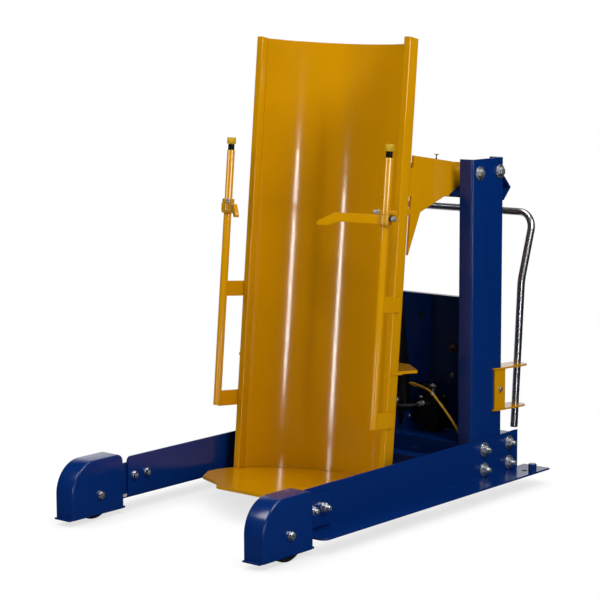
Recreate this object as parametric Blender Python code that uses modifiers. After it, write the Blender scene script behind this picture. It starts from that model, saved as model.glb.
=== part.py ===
"""Hydraulic drum tipper: a wheeled base frame, two columns, and a tilting carriage with a chute.

Metres, +Z up. The machine frame has X across the machine, the front wheels at -Y and the push
handle at +Y, with Y = 0 on the chute's axis at the foot plate. The root empty moves all of it so
that the origin is the middle of the footprint on the floor.
"""

import bpy
import bmesh
from math import asin, atan2, cos, pi, radians, sin, sqrt
from mathutils import Euler, Matrix, Vector

# General
GAP = 0.0003
SIDES = (("right", 1), ("left", -1))
EDGE_FINE = 16
EDGE_COARSE = 12
EDGE_HIDDEN = 8

# Widths across the machine, all from the chute's radius
CHUTE_R = 0.316
RAIL_OUTER_X = CHUTE_R + 0.012
POST_X = RAIL_OUTER_X + 0.011
ARM_X = CHUTE_R - 0.026
LEG_INNER_X = RAIL_OUTER_X + 0.0465
CASTER_X = LEG_INNER_X - 0.1625
HANDLE_X = LEG_INNER_X - 0.0265

# Legs
LEG_WALL = 0.006
LEG_BOTTOM = 0.0466
LEG_TOP = 0.186
LEG_FRONT = -0.441
LEG_REAR = 0.736
FOOT_WIDTH = 0.1015
FOOT_FRONT = -0.460
FOOT_REAR = 0.788
LEG_BEND = 0.008
LEG_CORNER = 0.016
FOOT_CORNER = 0.026
FLOOR_HOLE_R = 0.0095
FLOOR_HOLE_X = LEG_INNER_X + 0.063
FLOOR_HOLE_Y = 0.696
BOSS_R = 0.0145
BOSS_HEIGHT = 0.028
BOSS_X = LEG_INNER_X + 0.0915
BOSS_Y = 0.703

# Columns
COLUMN_FRONT = 0.463
COLUMN_REAR = 0.644
COLUMN_TOP = 1.148
COLUMN_BOTTOM = 0.060
COLUMN_LIP = 0.0555
COLUMN_WALL = 0.006
COLUMN_BEND = 0.009

# Tilt shaft and its bearings
PIVOT_Y = 0.560
PIVOT_Z = 1.100
SHAFT_R = 0.019
SHAFT_CLEARANCE = 0.0008
BEARING_BOLT_SPACING = 0.120
BEARING_FLANGE = 0.013
BEARING_DEPTH = 0.036
BEARING_HUB_R = 0.034
BEARING_EAR_R = 0.016

# Rear tie angle
TIE_LEG = 0.0606
TIE_WALL = 0.005
TIE_Z = 1.0426

# Fasteners, with the number of sides of each kind of stretch
HEX = 6
SHANK = 8
WASHER = 12
BOLT_R = 0.0079
BOLT_HOLE_R = 0.0090
BOLT_FLATS = 0.0238
BOLT_HEAD = 0.010
NUT_HEIGHT = 0.013
BOLT_TAIL = 0.012
BIG_WASHER_R = 0.0235
SMALL_WASHER_R = 0.0150
BRACKET_WASHER_R = 0.0105
WASHER_THICK = 0.003
LEG_BOLT_YS = (0.531, 0.682)
LEG_BOLT_ZS = (0.0785, 0.1487)
FRONT_BOLT_YS = (-0.3516, -0.4098)
FRONT_BOLT_Z = 0.1185
BRACKET_BOLT_Y = 0.6225
BRACKET_BOLT_FLATS = 0.018
BRACKET_BOLT_Z = 0.3463

# Front wheels, brackets and covers
AXLE_Y = -0.576
AXLE_Z = 0.0825
AXLE_R = 0.0079
AXLE_BORE_CLEARANCE = 0.0007
FRONT_WHEEL_WIDTH = 0.044
WHEEL_SIDES = 20
TYRE_SHOULDER = 0.006
HUB_R = 0.022
WHEEL_DISH = 0.006
FORK_PLATE = 0.008
FORK_REAR = -0.310
FORK_FRONT = -0.612
FORK_BOTTOM = 0.054
FORK_TOP = 0.1655
COVER_INNER_X = LEG_INNER_X - 0.0089
COVER_OUTER_X = LEG_INNER_X + 0.072
COVER_WALL = 0.005
COVER_FRONT = -0.700
COVER_REAR = -0.470
COVER_BOTTOM = 0.018
COVER_TOP = 0.217
COVER_ARC_Z = 0.114
COVER_ARC_Y = -0.547
COVER_REAR_CORNER = 0.028
COVER_LIP = 0.0117
COVER_LIP_THICK = 0.006
COVER_EDGE = 0.006

# Rear deck, panel and casters
DECK_BOTTOM = 0.1685
DECK_WALL = 0.006
DECK_REAR = 0.790
DECK_SKIRT = 0.108
PANEL_WALL = 0.003
PANEL_TOP = 0.652
PANEL_INSET = 0.012
PANEL_HOLE_R = 0.007
PANEL_HOLE_X = 0.04
PANEL_HOLE_Z = 0.575
PANEL_FOLD = 0.022
CASTER_Y = 0.650
CASTER_WHEEL_R = 0.0635
CASTER_WHEEL_WIDTH = 0.032
CASTER_TRAIL = 0.038
CASTER_PLATE = (0.095, 0.080, 0.005)
CASTER_RACE = 0.014
CASTER_RACE_R = 0.028
CASTER_FORK_WALL = 0.004
CASTER_FORK_GAP = 0.003
CASTER_AXLE_R = 0.006

# Push handle
TUBE_R = 0.01335
HANDLE_FOOT = (0.762, 0.190)
HANDLE_KNEE = (0.798, 0.705)
HANDLE_TOP = (0.875, 0.938)
HANDLE_KNEE_BEND = 0.180
HANDLE_CORNER_BEND = 0.062
BRACKET_WALL = 0.006
BRACKET_FRONT = 0.580
BRACKET_REAR = 0.656
BRACKET_BOTTOM = 0.262
BRACKET_TOP = 0.434
BRACKET_BORE_CLEARANCE = 0.0006

# Carriage
TILT = 0.0968
FOOT_PLATE_Z = 0.0773
FOOT_PLATE_THICK = 0.010
FOOT_PLATE_FRONT = 0.320
FOOT_PLATE_NOSE = 0.138
CHUTE_SET = 0.020
CHUTE_WALL = 0.003
CHUTE_TOP = 1.492
CHUTE_FACETS = 36
RAIL_WIDTH = 0.026
RAIL_FRONT = 0.027
RAIL_DEPTH = 0.030
RAIL_WALL = 0.003
RIB_Z = 0.392
RIB_THICK = 0.010
RIB_DEPTH = 0.048
RIB_SHOULDER_Y = 0.200

# Tilt arms, lugs and cross beam
ARM_WALL = 0.008
ARM_FRONT = 0.136
ARM_REAR = 0.3505
ARM_TOP_FRONT = 1.112
ARM_TOP_REAR = 1.102
ARM_TABS = ((0.976, 1.071), (0.916, 0.939))
ARM_FOOT = 0.783
ARM_GUSSET = ((0.191, 0.927), (0.205, 0.933), (0.322, 0.983))
ARM_HEEL = ARM_TOP_REAR - 0.117
LUG_WALL = 0.010
LUG_HUB_R = 0.030
LUG_START_Y = 0.262
BEAM_SIZE = 0.050
BEAM_WALL = 0.005
BEAM_Z = 1.040

# Hydraulic cylinder
CYLINDER_PIN_Y = 0.580
CYLINDER_PIN_Z = 0.2165
ROD_EYE_OFFSET = (-0.080, -0.140)
BARREL_R = 0.030
BARREL_LENGTH = 0.560
GLAND_LENGTH = 0.040
GLAND_R = 0.033
ROD_R = 0.016
EYE_R = 0.021
EYE_WIDTH = 0.026
CYLINDER_PIN_R = 0.0095
PIN_CLEARANCE = 0.0007
EAR_WALL = 0.010
EAR_SIDE_GAP = 0.002
EAR_R = 0.024
BRACKET_BASE_HALF = 0.046
PORT_HEIGHT = 0.065
PORT_REACH = 0.046
PORT_R = 0.009

# Clamps
POST_Y = -0.062
POST_BOTTOM = 0.222
POST_TOP = 1.098
THREAD_LENGTH = 0.020
CAP_R = 0.0155
CAP_HEIGHT = 0.023
POST_TABS = ((0.219, 0.272), (0.599, 0.651))
POST_TAB_WALL = 0.006
POST_TAB_REAR = 0.052
COLLAR_CLEARANCE = 0.0009
COLLAR_R = 0.0210
COLLAR_TOP = 0.931
COLLAR_SPLIT = COLLAR_TOP - 0.026
COLLAR_NECK_R = 0.0172
COLLAR_BOTTOM = COLLAR_TOP - 0.062
COLLAR_FLANGE = 0.006
SET_BOLT_FLATS = 0.014
SET_BOLT_REACH = 0.016
SLEEVE_CLEARANCE = 0.0007
SLEEVE_R = 0.0235
ARM_BAR_WALL = 0.009
ARM_BAR_HEIGHT = 0.030
CLAMP_REACH = (0.149, 0.124)
CLAMP_HOOK_LENGTH = 0.050
CLAMP_HOOK_DROP = 0.026

# Stop bar behind the foot plate
STOP_BAR_REAR = CHUTE_R + 0.076
STOP_BAR_SIZE = 0.050
STOP_BAR_BOTTOM = 0.088
BUMPER_R = 0.018
BUMPER_X = 0.085

# Power unit
UNIT_CLEARANCE = 0.004
TANK_SIZE = (0.190, 0.135, 0.205)
TANK_X = -0.185
TANK_EDGE = 0.010
MOTOR_R = 0.056
MOTOR_HEIGHT = 0.185
MOTOR_NECK = 0.020
TERMINAL_SIZE = 0.060
BLOCK_SIZE = (0.084, 0.075, 0.092)
BLOCK_X = 0.119
BLOCK_LIFT = 0.026
COIL_X = 0.119
COIL_R = 0.0180
COIL_HEIGHT = 0.048
PLUG_SIZE = (0.024, 0.022, 0.026)
PLUG_RISE = 0.030
PLUG_GLAND = 0.008
HOSE_R = 0.006
HOSE_STUB = 0.006
HOSE_OUTLET_X = 0.104
OUTLET_REACH = 0.015
CABLE_R = 0.0043
CABLE_STEP = 0.013
CABLE_TIE_X = 0.186
CABLE_EXIT = (LEG_INNER_X - COLUMN_LIP - 0.009, COLUMN_FRONT + 0.019)
CABLE_GLAND_R = 0.0065
CABLE_GLAND_HEIGHT = 0.012
FITTING_X = 0.185
FITTING_Z = 0.469
FITTING_R = 0.012
FITTING_LENGTH = 0.028
SCREW_X = 0.177
SCREW_Z = 0.372
SCREW_R = 0.008
WING_Y = 0.267
WING_STEM_R = 0.0022
WING_HEIGHT = 0.017
WING_SPAN = 0.019

ACROSS_X = (0.0, pi / 2, 0.0)
UPRIGHT = (0.0, 0.0, 0.0)
PLANES = {"YZ": (pi / 2, 0.0, pi / 2), "XZ": (pi / 2, 0.0, 0.0), "XY": UPRIGHT}
NORMALS = {"YZ": (1.0, 0.0, 0.0), "XZ": (0.0, 1.0, 0.0), "XY": (0.0, 0.0, 1.0)}

PAINTS = {
    "blue": ((0.010, 0.045, 0.210), 0.25, 0.0),
    "yellow": ((0.640, 0.330, 0.004), 0.30, 0.0),
    "chrome": ((0.750, 0.750, 0.760), 0.10, 1.0),
    "zinc": ((0.560, 0.570, 0.580), 0.35, 1.0),
    "steel": ((0.420, 0.420, 0.430), 0.40, 1.0),
    "brass": ((0.600, 0.420, 0.140), 0.30, 1.0),
    "iron": ((0.050, 0.055, 0.065), 0.55, 0.2),
    "black": ((0.012, 0.012, 0.013), 0.50, 0.0),
    "rubber": ((0.020, 0.020, 0.020), 0.80, 0.0),
    "cable": ((0.620, 0.380, 0.030), 0.45, 0.0),
    "white": ((0.750, 0.750, 0.740), 0.50, 0.0),
}


def clear_scene():
    for obj in list(bpy.data.objects):
        bpy.data.objects.remove(obj, do_unlink=True)


def new_collection(name):
    collection = bpy.data.collections.new(name)
    bpy.context.scene.collection.children.link(collection)
    return collection


clear_scene()
PARTS = new_collection("drum_tipper")
CUTTERS = new_collection("cutters")


def move_to(obj, collection):
    for old in list(obj.users_collection):
        old.objects.unlink(obj)
    collection.objects.link(obj)


def paint(obj, colour):
    base, roughness, metallic = PAINTS[colour]
    material = bpy.data.materials.new(obj.name)
    material.use_nodes = True
    shader = material.node_tree.nodes["Principled BSDF"]
    shader.inputs["Base Color"].default_value = (*base, 1.0)
    shader.inputs["Roughness"].default_value = roughness
    shader.inputs["Metallic"].default_value = metallic
    obj.data.materials.clear()
    obj.data.materials.append(material)


def keep(obj, name, parent, colour):
    obj.name = name
    obj.data.name = name
    obj.parent = parent
    move_to(obj, PARTS)
    obj.data.shade_smooth()
    obj.data.set_sharp_from_angle(angle=radians(35))
    paint(obj, colour)
    return obj


def empty(name, parent, location, rotation=UPRIGHT):
    obj = bpy.data.objects.new(name, None)
    obj.parent = parent
    obj.location = location
    obj.rotation_euler = rotation
    PARTS.objects.link(obj)
    return obj


def mesh_object(mesh):
    obj = bpy.data.objects.new(mesh.name, mesh)
    bpy.context.scene.collection.objects.link(obj)
    return obj


def from_bmesh(shape, name="shape"):
    bmesh.ops.recalc_face_normals(shape, faces=shape.faces)
    mesh = bpy.data.meshes.new(name)
    shape.to_mesh(mesh)
    shape.free()
    return mesh_object(mesh)


def as_mesh(curve_object):
    """Turn a filled or bevelled curve into one closed mesh, so that it can be cut and joined."""
    bpy.context.view_layer.update()
    graph = bpy.context.evaluated_depsgraph_get()
    mesh = bpy.data.meshes.new_from_object(curve_object.evaluated_get(graph))
    shape = bmesh.new()
    shape.from_mesh(mesh)
    bmesh.ops.remove_doubles(shape, verts=shape.verts, dist=0.00001)
    bmesh.ops.dissolve_limit(shape, angle_limit=radians(0.5), verts=shape.verts, edges=shape.edges)
    bmesh.ops.recalc_face_normals(shape, faces=shape.faces)
    shape.to_mesh(mesh)
    shape.free()
    solid = mesh_object(mesh)
    bpy.data.objects.remove(curve_object, do_unlink=True)
    return solid


def arc(centre, radius, start, end, steps):
    points = []
    for i in range(steps + 1):
        angle = start + (end - start) * i / steps
        points.append((centre[0] + radius * cos(angle), centre[1] + radius * sin(angle)))
    return points


def ring(centre, radius, sides=EDGE_COARSE):
    return arc(centre, radius, 0.0, 2.0 * pi * (sides - 1) / sides, sides - 1)


def rounded(corners, steps=3):
    """An outline from (u, v, radius) corners, each rounded by its own radius."""
    points = []
    for i, (u, v, radius) in enumerate(corners):
        here = Vector((u, v))
        if radius <= 0.0:
            points.append((u, v))
            continue
        before = Vector(corners[i - 1][:2]) - here
        after = Vector(corners[(i + 1) % len(corners)][:2]) - here
        before.normalize()
        after.normalize()
        half = before.angle(after) / 2.0
        centre = here + (before + after).normalized() * (radius / sin(half))
        first = here + before * (radius * cos(half) / sin(half)) - centre
        last = here + after * (radius * cos(half) / sin(half)) - centre
        start = atan2(first.y, first.x)
        sweep = (atan2(last.y, last.x) - start + pi) % (2.0 * pi) - pi
        points += arc(centre, radius, start, start + sweep, steps)
    return points


def plate(outline, thickness, plane, middle=0.0, holes=()):
    """A flat outline with holes, extruded by its thickness about the plane's middle."""
    curve = bpy.data.curves.new("outline", "CURVE")
    curve.dimensions = "2D"
    curve.fill_mode = "BOTH"
    curve.extrude = thickness / 2.0
    for loop in [outline, *holes]:
        spline = curve.splines.new("POLY")
        spline.points.add(len(loop) - 1)
        for point, (u, v) in zip(spline.points, loop):
            point.co = (u, v, 0.0, 1.0)
        spline.use_cyclic_u = True
    obj = bpy.data.objects.new("outline", curve)
    bpy.context.scene.collection.objects.link(obj)
    solid = as_mesh(obj)
    shift = Matrix.Translation(Vector(NORMALS[plane]) * middle)
    solid.data.transform(shift @ Euler(PLANES[plane]).to_matrix().to_4x4())
    return solid


def box(low, high):
    """A block between two corners."""
    bpy.ops.mesh.primitive_cube_add(size=1.0)
    obj = bpy.context.active_object
    size = Vector(high) - Vector(low)
    middle = (Vector(high) + Vector(low)) / 2.0
    obj.data.transform(Matrix.Translation(middle) @ Matrix.Diagonal((*size, 1.0)))
    return obj


def cylinder(radius, start, end, sides=EDGE_FINE):
    """A round bar from one point to another."""
    start = Vector(start)
    along = Vector(end) - start
    bpy.ops.mesh.primitive_cylinder_add(vertices=sides, radius=radius, depth=along.length)
    obj = bpy.context.active_object
    turn = Vector((0.0, 0.0, 1.0)).rotation_difference(along).to_matrix().to_4x4()
    obj.data.transform(Matrix.Translation(start + along / 2.0) @ turn)
    return obj


def turned(profile, sides=EDGE_FINE):
    """A closed (radius, height) profile turned about Z."""
    mesh = bpy.data.meshes.new("profile")
    verts = [(r, 0.0, z) for r, z in profile]
    edges = [(i, (i + 1) % len(verts)) for i in range(len(verts))]
    mesh.from_pydata(verts, edges, [])
    obj = mesh_object(mesh)
    screw = obj.modifiers.new("turn", "SCREW")
    screw.steps = sides
    screw.render_steps = sides
    screw.use_merge_vertices = True
    screw.merge_threshold = 0.00001
    screw.use_normal_calculate = True
    bpy.context.view_layer.update()
    graph = bpy.context.evaluated_depsgraph_get()
    result = bpy.data.meshes.new_from_object(obj.evaluated_get(graph))
    bpy.data.objects.remove(obj, do_unlink=True)
    shape = bmesh.new()
    shape.from_mesh(result)
    bmesh.ops.remove_doubles(shape, verts=shape.verts, dist=0.000001)
    return from_bmesh(shape, "turned")


def fillet_path(points, bends, steps=5):
    """A path through 3D points with a rounded bend at each inner one."""
    path = [Vector(points[0])]
    for i in range(1, len(points) - 1):
        here = Vector(points[i])
        before = (Vector(points[i - 1]) - here).normalized()
        after = (Vector(points[i + 1]) - here).normalized()
        half = before.angle(after) / 2.0
        radius = bends[i - 1]
        reach = radius * cos(half) / sin(half)
        centre = here + (before + after).normalized() * (radius / sin(half))
        first = (here + before * reach - centre).normalized()
        last = (here + after * reach - centre).normalized()
        for k in range(steps + 1):
            path.append(centre + first.slerp(last, k / steps) * radius)
    path.append(Vector(points[-1]))
    return path


def tube(path, radius, resolution=3):
    curve = bpy.data.curves.new("path", "CURVE")
    curve.dimensions = "3D"
    curve.bevel_depth = radius
    curve.bevel_resolution = resolution
    curve.use_fill_caps = True
    curve.twist_mode = "MINIMUM"
    spline = curve.splines.new("POLY")
    spline.points.add(len(path) - 1)
    for point, place_at in zip(spline.points, path):
        point.co = (*place_at, 1.0)
    obj = bpy.data.objects.new("path", curve)
    bpy.context.scene.collection.objects.link(obj)
    return as_mesh(obj)


def smooth_path(points, spacing):
    """A smooth curve through hand-set points, read off at even steps."""
    points = [Vector(p) for p in points]
    ends = [points[0] * 2.0 - points[1], *points, points[-1] * 2.0 - points[-2]]
    dense = []
    for i in range(1, len(ends) - 2):
        a, b, c, d = ends[i - 1:i + 3]
        for k in range(20):
            t = k / 20.0
            dense.append(0.5 * (2.0 * b + (c - a) * t + (2.0 * a - 5.0 * b + 4.0 * c - d) * t ** 2
                                + (3.0 * b - a - 3.0 * c + d) * t ** 3))
    dense.append(points[-1])
    path = [dense[0]]
    travelled = 0.0
    for before, after in zip(dense, dense[1:]):
        travelled += (after - before).length
        if travelled >= spacing:
            path.append(after)
            travelled = 0.0
    if (path[-1] - points[-1]).length < spacing / 2.0:
        path.pop()
    path.append(points[-1])
    return path


def change(obj, tool, operation):
    """Join or cut a solid with another one, which is then removed."""
    modifier = obj.modifiers.new(operation, "BOOLEAN")
    modifier.operation = operation
    modifier.solver = "EXACT"
    modifier.object = tool
    tool.hide_render = True
    tool.display_type = "WIRE"
    move_to(tool, CUTTERS)
    bpy.context.view_layer.update()
    graph = bpy.context.evaluated_depsgraph_get()
    mesh = bpy.data.meshes.new_from_object(obj.evaluated_get(graph))
    obj.modifiers.clear()
    obj.data = mesh
    bpy.data.objects.remove(tool, do_unlink=True)
    return obj


def cut(obj, *tools):
    for tool in tools:
        change(obj, tool, "DIFFERENCE")
    return obj


def join(obj, *tools):
    for tool in tools:
        change(obj, tool, "UNION")
    return obj


def soften(obj, width, segments=1, angle=radians(40)):
    """A small round on every sharp edge."""
    bevel = obj.modifiers.new("edges", "BEVEL")
    bevel.width = width
    bevel.segments = segments
    bevel.limit_method = "ANGLE"
    bevel.angle_limit = angle
    bpy.context.view_layer.update()
    graph = bpy.context.evaluated_depsgraph_get()
    mesh = bpy.data.meshes.new_from_object(obj.evaluated_get(graph))
    obj.modifiers.clear()
    obj.data = mesh
    return obj


def stack(sections, start, direction):
    """A bolt-like bar of stretches, each given as (sides, half size, from, to) along the direction.

    A hexagon's half size is half its width across the flats; a round stretch's is its radius.
    """
    shape = bmesh.new()
    rings = []
    for sides, half, low, high in sections:
        radius = half / cos(pi / 6) if sides == HEX else half
        for height in (low, high):
            rings.append([shape.verts.new((u, v, height)) for u, v in ring((0.0, 0.0), radius, sides)])
    for lower, upper in zip(rings, rings[1:]):
        bridge(shape, lower, upper)
    shape.faces.new(rings[0][::-1])
    shape.faces.new(rings[-1])
    turn = Vector((0.0, 0.0, 1.0)).rotation_difference(Vector(direction)).to_matrix().to_4x4()
    bmesh.ops.transform(shape, matrix=Matrix.Translation(start) @ turn, verts=shape.verts)
    return from_bmesh(shape, "bolt")


def bridge(shape, lower, upper):
    """Faces between two rings that begin at the same angle, also where their counts differ."""
    count, above = len(lower), len(upper)
    i = k = 0
    while i < count or k < above:
        here, over = lower[i % count], upper[k % above]
        if count == above:
            shape.faces.new((here, lower[(i + 1) % count], upper[(k + 1) % above], over))
            i += 1
            k += 1
        elif (i + 1) * above <= (k + 1) * count:
            shape.faces.new((here, lower[(i + 1) % count], over))
            i += 1
        else:
            shape.faces.new((here, upper[(k + 1) % above], over))
            k += 1


def nut_and_bolt(x_inside, x_outside, y, z, side, washer_r, nut_outside, flats=BOLT_FLATS):
    """A bolt through plates lying between two distances from the middle plane."""
    grip = x_outside - x_inside
    nut_start = grip + GAP + WASHER_THICK
    sections = (
        (HEX, flats / 2.0, -GAP - BOLT_HEAD, -GAP),
        (SHANK, BOLT_R, -GAP, grip + GAP),
        (WASHER, washer_r, grip + GAP, nut_start),
        (HEX, flats / 2.0, nut_start, nut_start + NUT_HEIGHT),
        (SHANK, BOLT_R, nut_start + NUT_HEIGHT, nut_start + NUT_HEIGHT + BOLT_TAIL),
    )
    if nut_outside:
        return stack(sections, (side * x_inside, y, z), (side, 0.0, 0.0))
    return stack(sections, (side * x_outside, y, z), (-side, 0.0, 0.0))


def leg_bolt(x_inside, y, z, side):
    """A bolt through a leg's web, with its nut and broad washer outside."""
    return nut_and_bolt(x_inside, LEG_OUTER_X, y, z, side, BIG_WASHER_R, True)


def tilted(y, z):
    """Carriage coordinates to machine coordinates, in the YZ plane."""
    return y * cos(TILT) + z * sin(TILT), FOOT_PLATE_Z - y * sin(TILT) + z * cos(TILT)


def chute_y(x, radius=CHUTE_R):
    """How far back the chute's outer face is at a distance from the middle plane."""
    return -CHUTE_SET + sqrt(radius ** 2 - x ** 2)


PIVOT_LOCAL_Y = (PIVOT_Y * cos(TILT) - (PIVOT_Z - FOOT_PLATE_Z) * sin(TILT))
PIVOT_LOCAL_Z = (PIVOT_Y * sin(TILT) + (PIVOT_Z - FOOT_PLATE_Z) * cos(TILT))
EYE_LOCAL_Y = PIVOT_LOCAL_Y + ROD_EYE_OFFSET[0] * cos(TILT) - ROD_EYE_OFFSET[1] * sin(TILT)
EYE_LOCAL_Z = PIVOT_LOCAL_Z + ROD_EYE_OFFSET[0] * sin(TILT) + ROD_EYE_OFFSET[1] * cos(TILT)
COVER_FRONT_LIP = COVER_FRONT - COVER_LIP
HANDLE_REAR = HANDLE_TOP[0] + TUBE_R
ORIGIN_Y = (COVER_FRONT_LIP + HANDLE_REAR) / 2.0
COLUMN_INNER_X = LEG_INNER_X - COLUMN_WALL
COLUMN_TIP_X = LEG_INNER_X - COLUMN_LIP
LEG_OUTER_X = LEG_INNER_X + LEG_WALL
DECK_TOP = DECK_BOTTOM + DECK_WALL

ROOT = empty("machine", None, (0.0, -ORIGIN_Y, 0.0))
TILT_AXIS = empty("tilt_axis", ROOT, (0.0, PIVOT_Y, PIVOT_Z))
CARRIAGE = empty("carriage_frame", TILT_AXIS, (0.0, -PIVOT_Y, FOOT_PLATE_Z - PIVOT_Z), (-TILT, 0.0, 0.0))


def make_legs():
    foot_edge = LEG_OUTER_X + FOOT_WIDTH
    section = rounded((
        (LEG_INNER_X, LEG_TOP, 0.0),
        (LEG_INNER_X, LEG_BOTTOM, LEG_BEND),
        (foot_edge, LEG_BOTTOM, 0.0),
        (foot_edge, LEG_BOTTOM + LEG_WALL, 0.0),
        (LEG_OUTER_X, LEG_BOTTOM + LEG_WALL, LEG_BEND - LEG_WALL),
        (LEG_OUTER_X, LEG_TOP, 0.0),
    ))
    foot_top = LEG_BOTTOM + LEG_WALL
    for name, side in SIDES:
        outline = [(side * u, v) for u, v in section]
        leg = plate(outline, FOOT_REAR - FOOT_FRONT, "XZ", (FOOT_REAR + FOOT_FRONT) / 2.0)
        # The web stops short of the foot at both ends, with a rounded top corner at the front.
        spare = 0.02
        rear_cut = box((side * LEG_INNER_X - spare, LEG_REAR, foot_top),
                       (side * LEG_INNER_X + spare, FOOT_REAR + spare, LEG_TOP + spare))
        front_shape = [(FOOT_FRONT - spare, LEG_TOP + spare), (FOOT_FRONT - spare, foot_top),
                       (LEG_FRONT, foot_top)]
        front_shape += arc((LEG_FRONT + LEG_CORNER, LEG_TOP - LEG_CORNER), LEG_CORNER, pi, pi / 2, 5)
        front_shape += [(LEG_FRONT + LEG_CORNER, LEG_TOP + spare)]
        front_cut = plate(front_shape, 2.0 * spare, "YZ", side * LEG_INNER_X)
        corner = [(foot_edge + spare, FOOT_FRONT - spare), (foot_edge - FOOT_CORNER, FOOT_FRONT - spare)]
        corner += arc((foot_edge - FOOT_CORNER, FOOT_FRONT + FOOT_CORNER), FOOT_CORNER, -pi / 2, 0.0, 5)
        corner += [(foot_edge + spare, FOOT_FRONT + FOOT_CORNER)]
        corner = [(side * u, v) for u, v in corner]
        corner_cut = plate(corner, 2.0 * spare, "XY", LEG_BOTTOM)
        cut(leg, rear_cut, front_cut, corner_cut)
        inside = side * (LEG_INNER_X - spare)
        outside = side * (LEG_OUTER_X + spare)
        for y in LEG_BOLT_YS:
            for z in LEG_BOLT_ZS:
                cut(leg, cylinder(BOLT_HOLE_R, (inside, y, z), (outside, y, z), EDGE_HIDDEN))
        for y in FRONT_BOLT_YS:
            hole = cylinder(BOLT_HOLE_R, (inside, y, FRONT_BOLT_Z), (outside, y, FRONT_BOLT_Z), EDGE_HIDDEN)
            cut(leg, hole)
        low = LEG_BOTTOM - spare
        high = foot_top + spare
        floor_hole_x = side * FLOOR_HOLE_X
        hole_low = (floor_hole_x, FLOOR_HOLE_Y, low)
        hole_high = (floor_hole_x, FLOOR_HOLE_Y, high)
        cut(leg, cylinder(FLOOR_HOLE_R, hole_low, hole_high))
        boss_x = side * BOSS_X
        boss_top = foot_top + BOSS_HEIGHT
        boss = cylinder(BOSS_R, (boss_x, BOSS_Y, LEG_BOTTOM), (boss_x, BOSS_Y, boss_top), EDGE_COARSE)
        join(leg, soften(boss, 0.0015))
        keep(leg, "leg_" + name, ROOT, "blue")


def make_columns():
    reach = 0.02
    for name, side in SIDES:
        inner_bend = COLUMN_BEND - COLUMN_WALL
        section = rounded((
            (LEG_INNER_X, COLUMN_FRONT, COLUMN_BEND),
            (LEG_INNER_X, COLUMN_REAR, COLUMN_BEND),
            (COLUMN_TIP_X, COLUMN_REAR, 0.0),
            (COLUMN_TIP_X, COLUMN_REAR - COLUMN_WALL, 0.0),
            (COLUMN_INNER_X, COLUMN_REAR - COLUMN_WALL, inner_bend),
            (COLUMN_INNER_X, COLUMN_FRONT + COLUMN_WALL, inner_bend),
            (COLUMN_TIP_X, COLUMN_FRONT + COLUMN_WALL, 0.0),
            (COLUMN_TIP_X, COLUMN_FRONT, 0.0),
        ))
        outline = [(side * (u - GAP), v) for u, v in section]
        column = plate(outline, COLUMN_TOP - COLUMN_BOTTOM, "XY", (COLUMN_TOP + COLUMN_BOTTOM) / 2.0)
        inside = side * (COLUMN_INNER_X - reach)
        outside = side * (LEG_INNER_X + reach)
        half_span = BEARING_BOLT_SPACING / 2.0
        spots = [(PIVOT_Y - half_span, PIVOT_Z), (PIVOT_Y + half_span, PIVOT_Z)]
        spots += [(BRACKET_BOLT_Y, BRACKET_BOLT_Z)]
        for y, z in spots:
            cut(column, cylinder(BOLT_HOLE_R, (inside, y, z), (outside, y, z), EDGE_HIDDEN))
        for z in LEG_BOLT_ZS:
            join(column, leg_bolt(COLUMN_INNER_X, LEG_BOLT_YS[0], z, side))
        keep(column, "column_" + name, ROOT, "blue")


def make_bearings():
    """Two-bolt flange bearings on the inner faces of the columns' webs."""
    half_span = BEARING_BOLT_SPACING / 2.0
    bore_r = SHAFT_R + SHAFT_CLEARANCE
    lean = asin((BEARING_HUB_R - BEARING_EAR_R) / half_span)
    for name, side in SIDES:
        face = COLUMN_INNER_X - 2.0 * GAP
        outline = arc((half_span, 0.0), BEARING_EAR_R, -pi / 2 + lean, pi / 2 - lean, 6)
        outline += arc((0.0, 0.0), BEARING_HUB_R, pi / 2 - lean, pi / 2 + lean, 3)
        outline += arc((-half_span, 0.0), BEARING_EAR_R, pi / 2 + lean, 3 * pi / 2 - lean, 6)
        outline += arc((0.0, 0.0), BEARING_HUB_R, -pi / 2 - lean, -pi / 2 + lean, 3)
        outline = [(PIVOT_Y + u, PIVOT_Z + v) for u, v in outline]
        flange = plate(outline, BEARING_FLANGE, "YZ", side * (face - BEARING_FLANGE / 2.0))
        hub_tip = face - BEARING_DEPTH
        hub = cylinder(BEARING_HUB_R - 0.004, (side * (face - BEARING_FLANGE / 2.0), PIVOT_Y, PIVOT_Z),
                       (side * hub_tip, PIVOT_Y, PIVOT_Z))
        join(flange, hub)
        bore_from = (side * (face + 0.01), PIVOT_Y, PIVOT_Z)
        bore_to = (side * (hub_tip - 0.01), PIVOT_Y, PIVOT_Z)
        cut(flange, cylinder(bore_r, bore_from, bore_to))
        for y in (PIVOT_Y - half_span, PIVOT_Y + half_span):
            join(flange, bearing_bolt(face - BEARING_FLANGE, y, side))
        keep(flange, "pivot_bearing_" + name, ROOT, "iron")


def bearing_bolt(inside, y, side):
    """The head and its broad washer are outside the column; the nut is inside."""
    grip = LEG_INNER_X - inside
    sections = (
        (HEX, BOLT_FLATS / 2.0, -GAP - WASHER_THICK - BOLT_HEAD, -GAP - WASHER_THICK),
        (WASHER, BIG_WASHER_R, -GAP - WASHER_THICK, -GAP),
        (SHANK, BOLT_R, -GAP, grip + GAP),
        (HEX, BOLT_FLATS / 2.0, grip + GAP, grip + GAP + NUT_HEIGHT),
    )
    return stack(sections, (side * LEG_INNER_X, y, PIVOT_Z), (-side, 0.0, 0.0))


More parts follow.
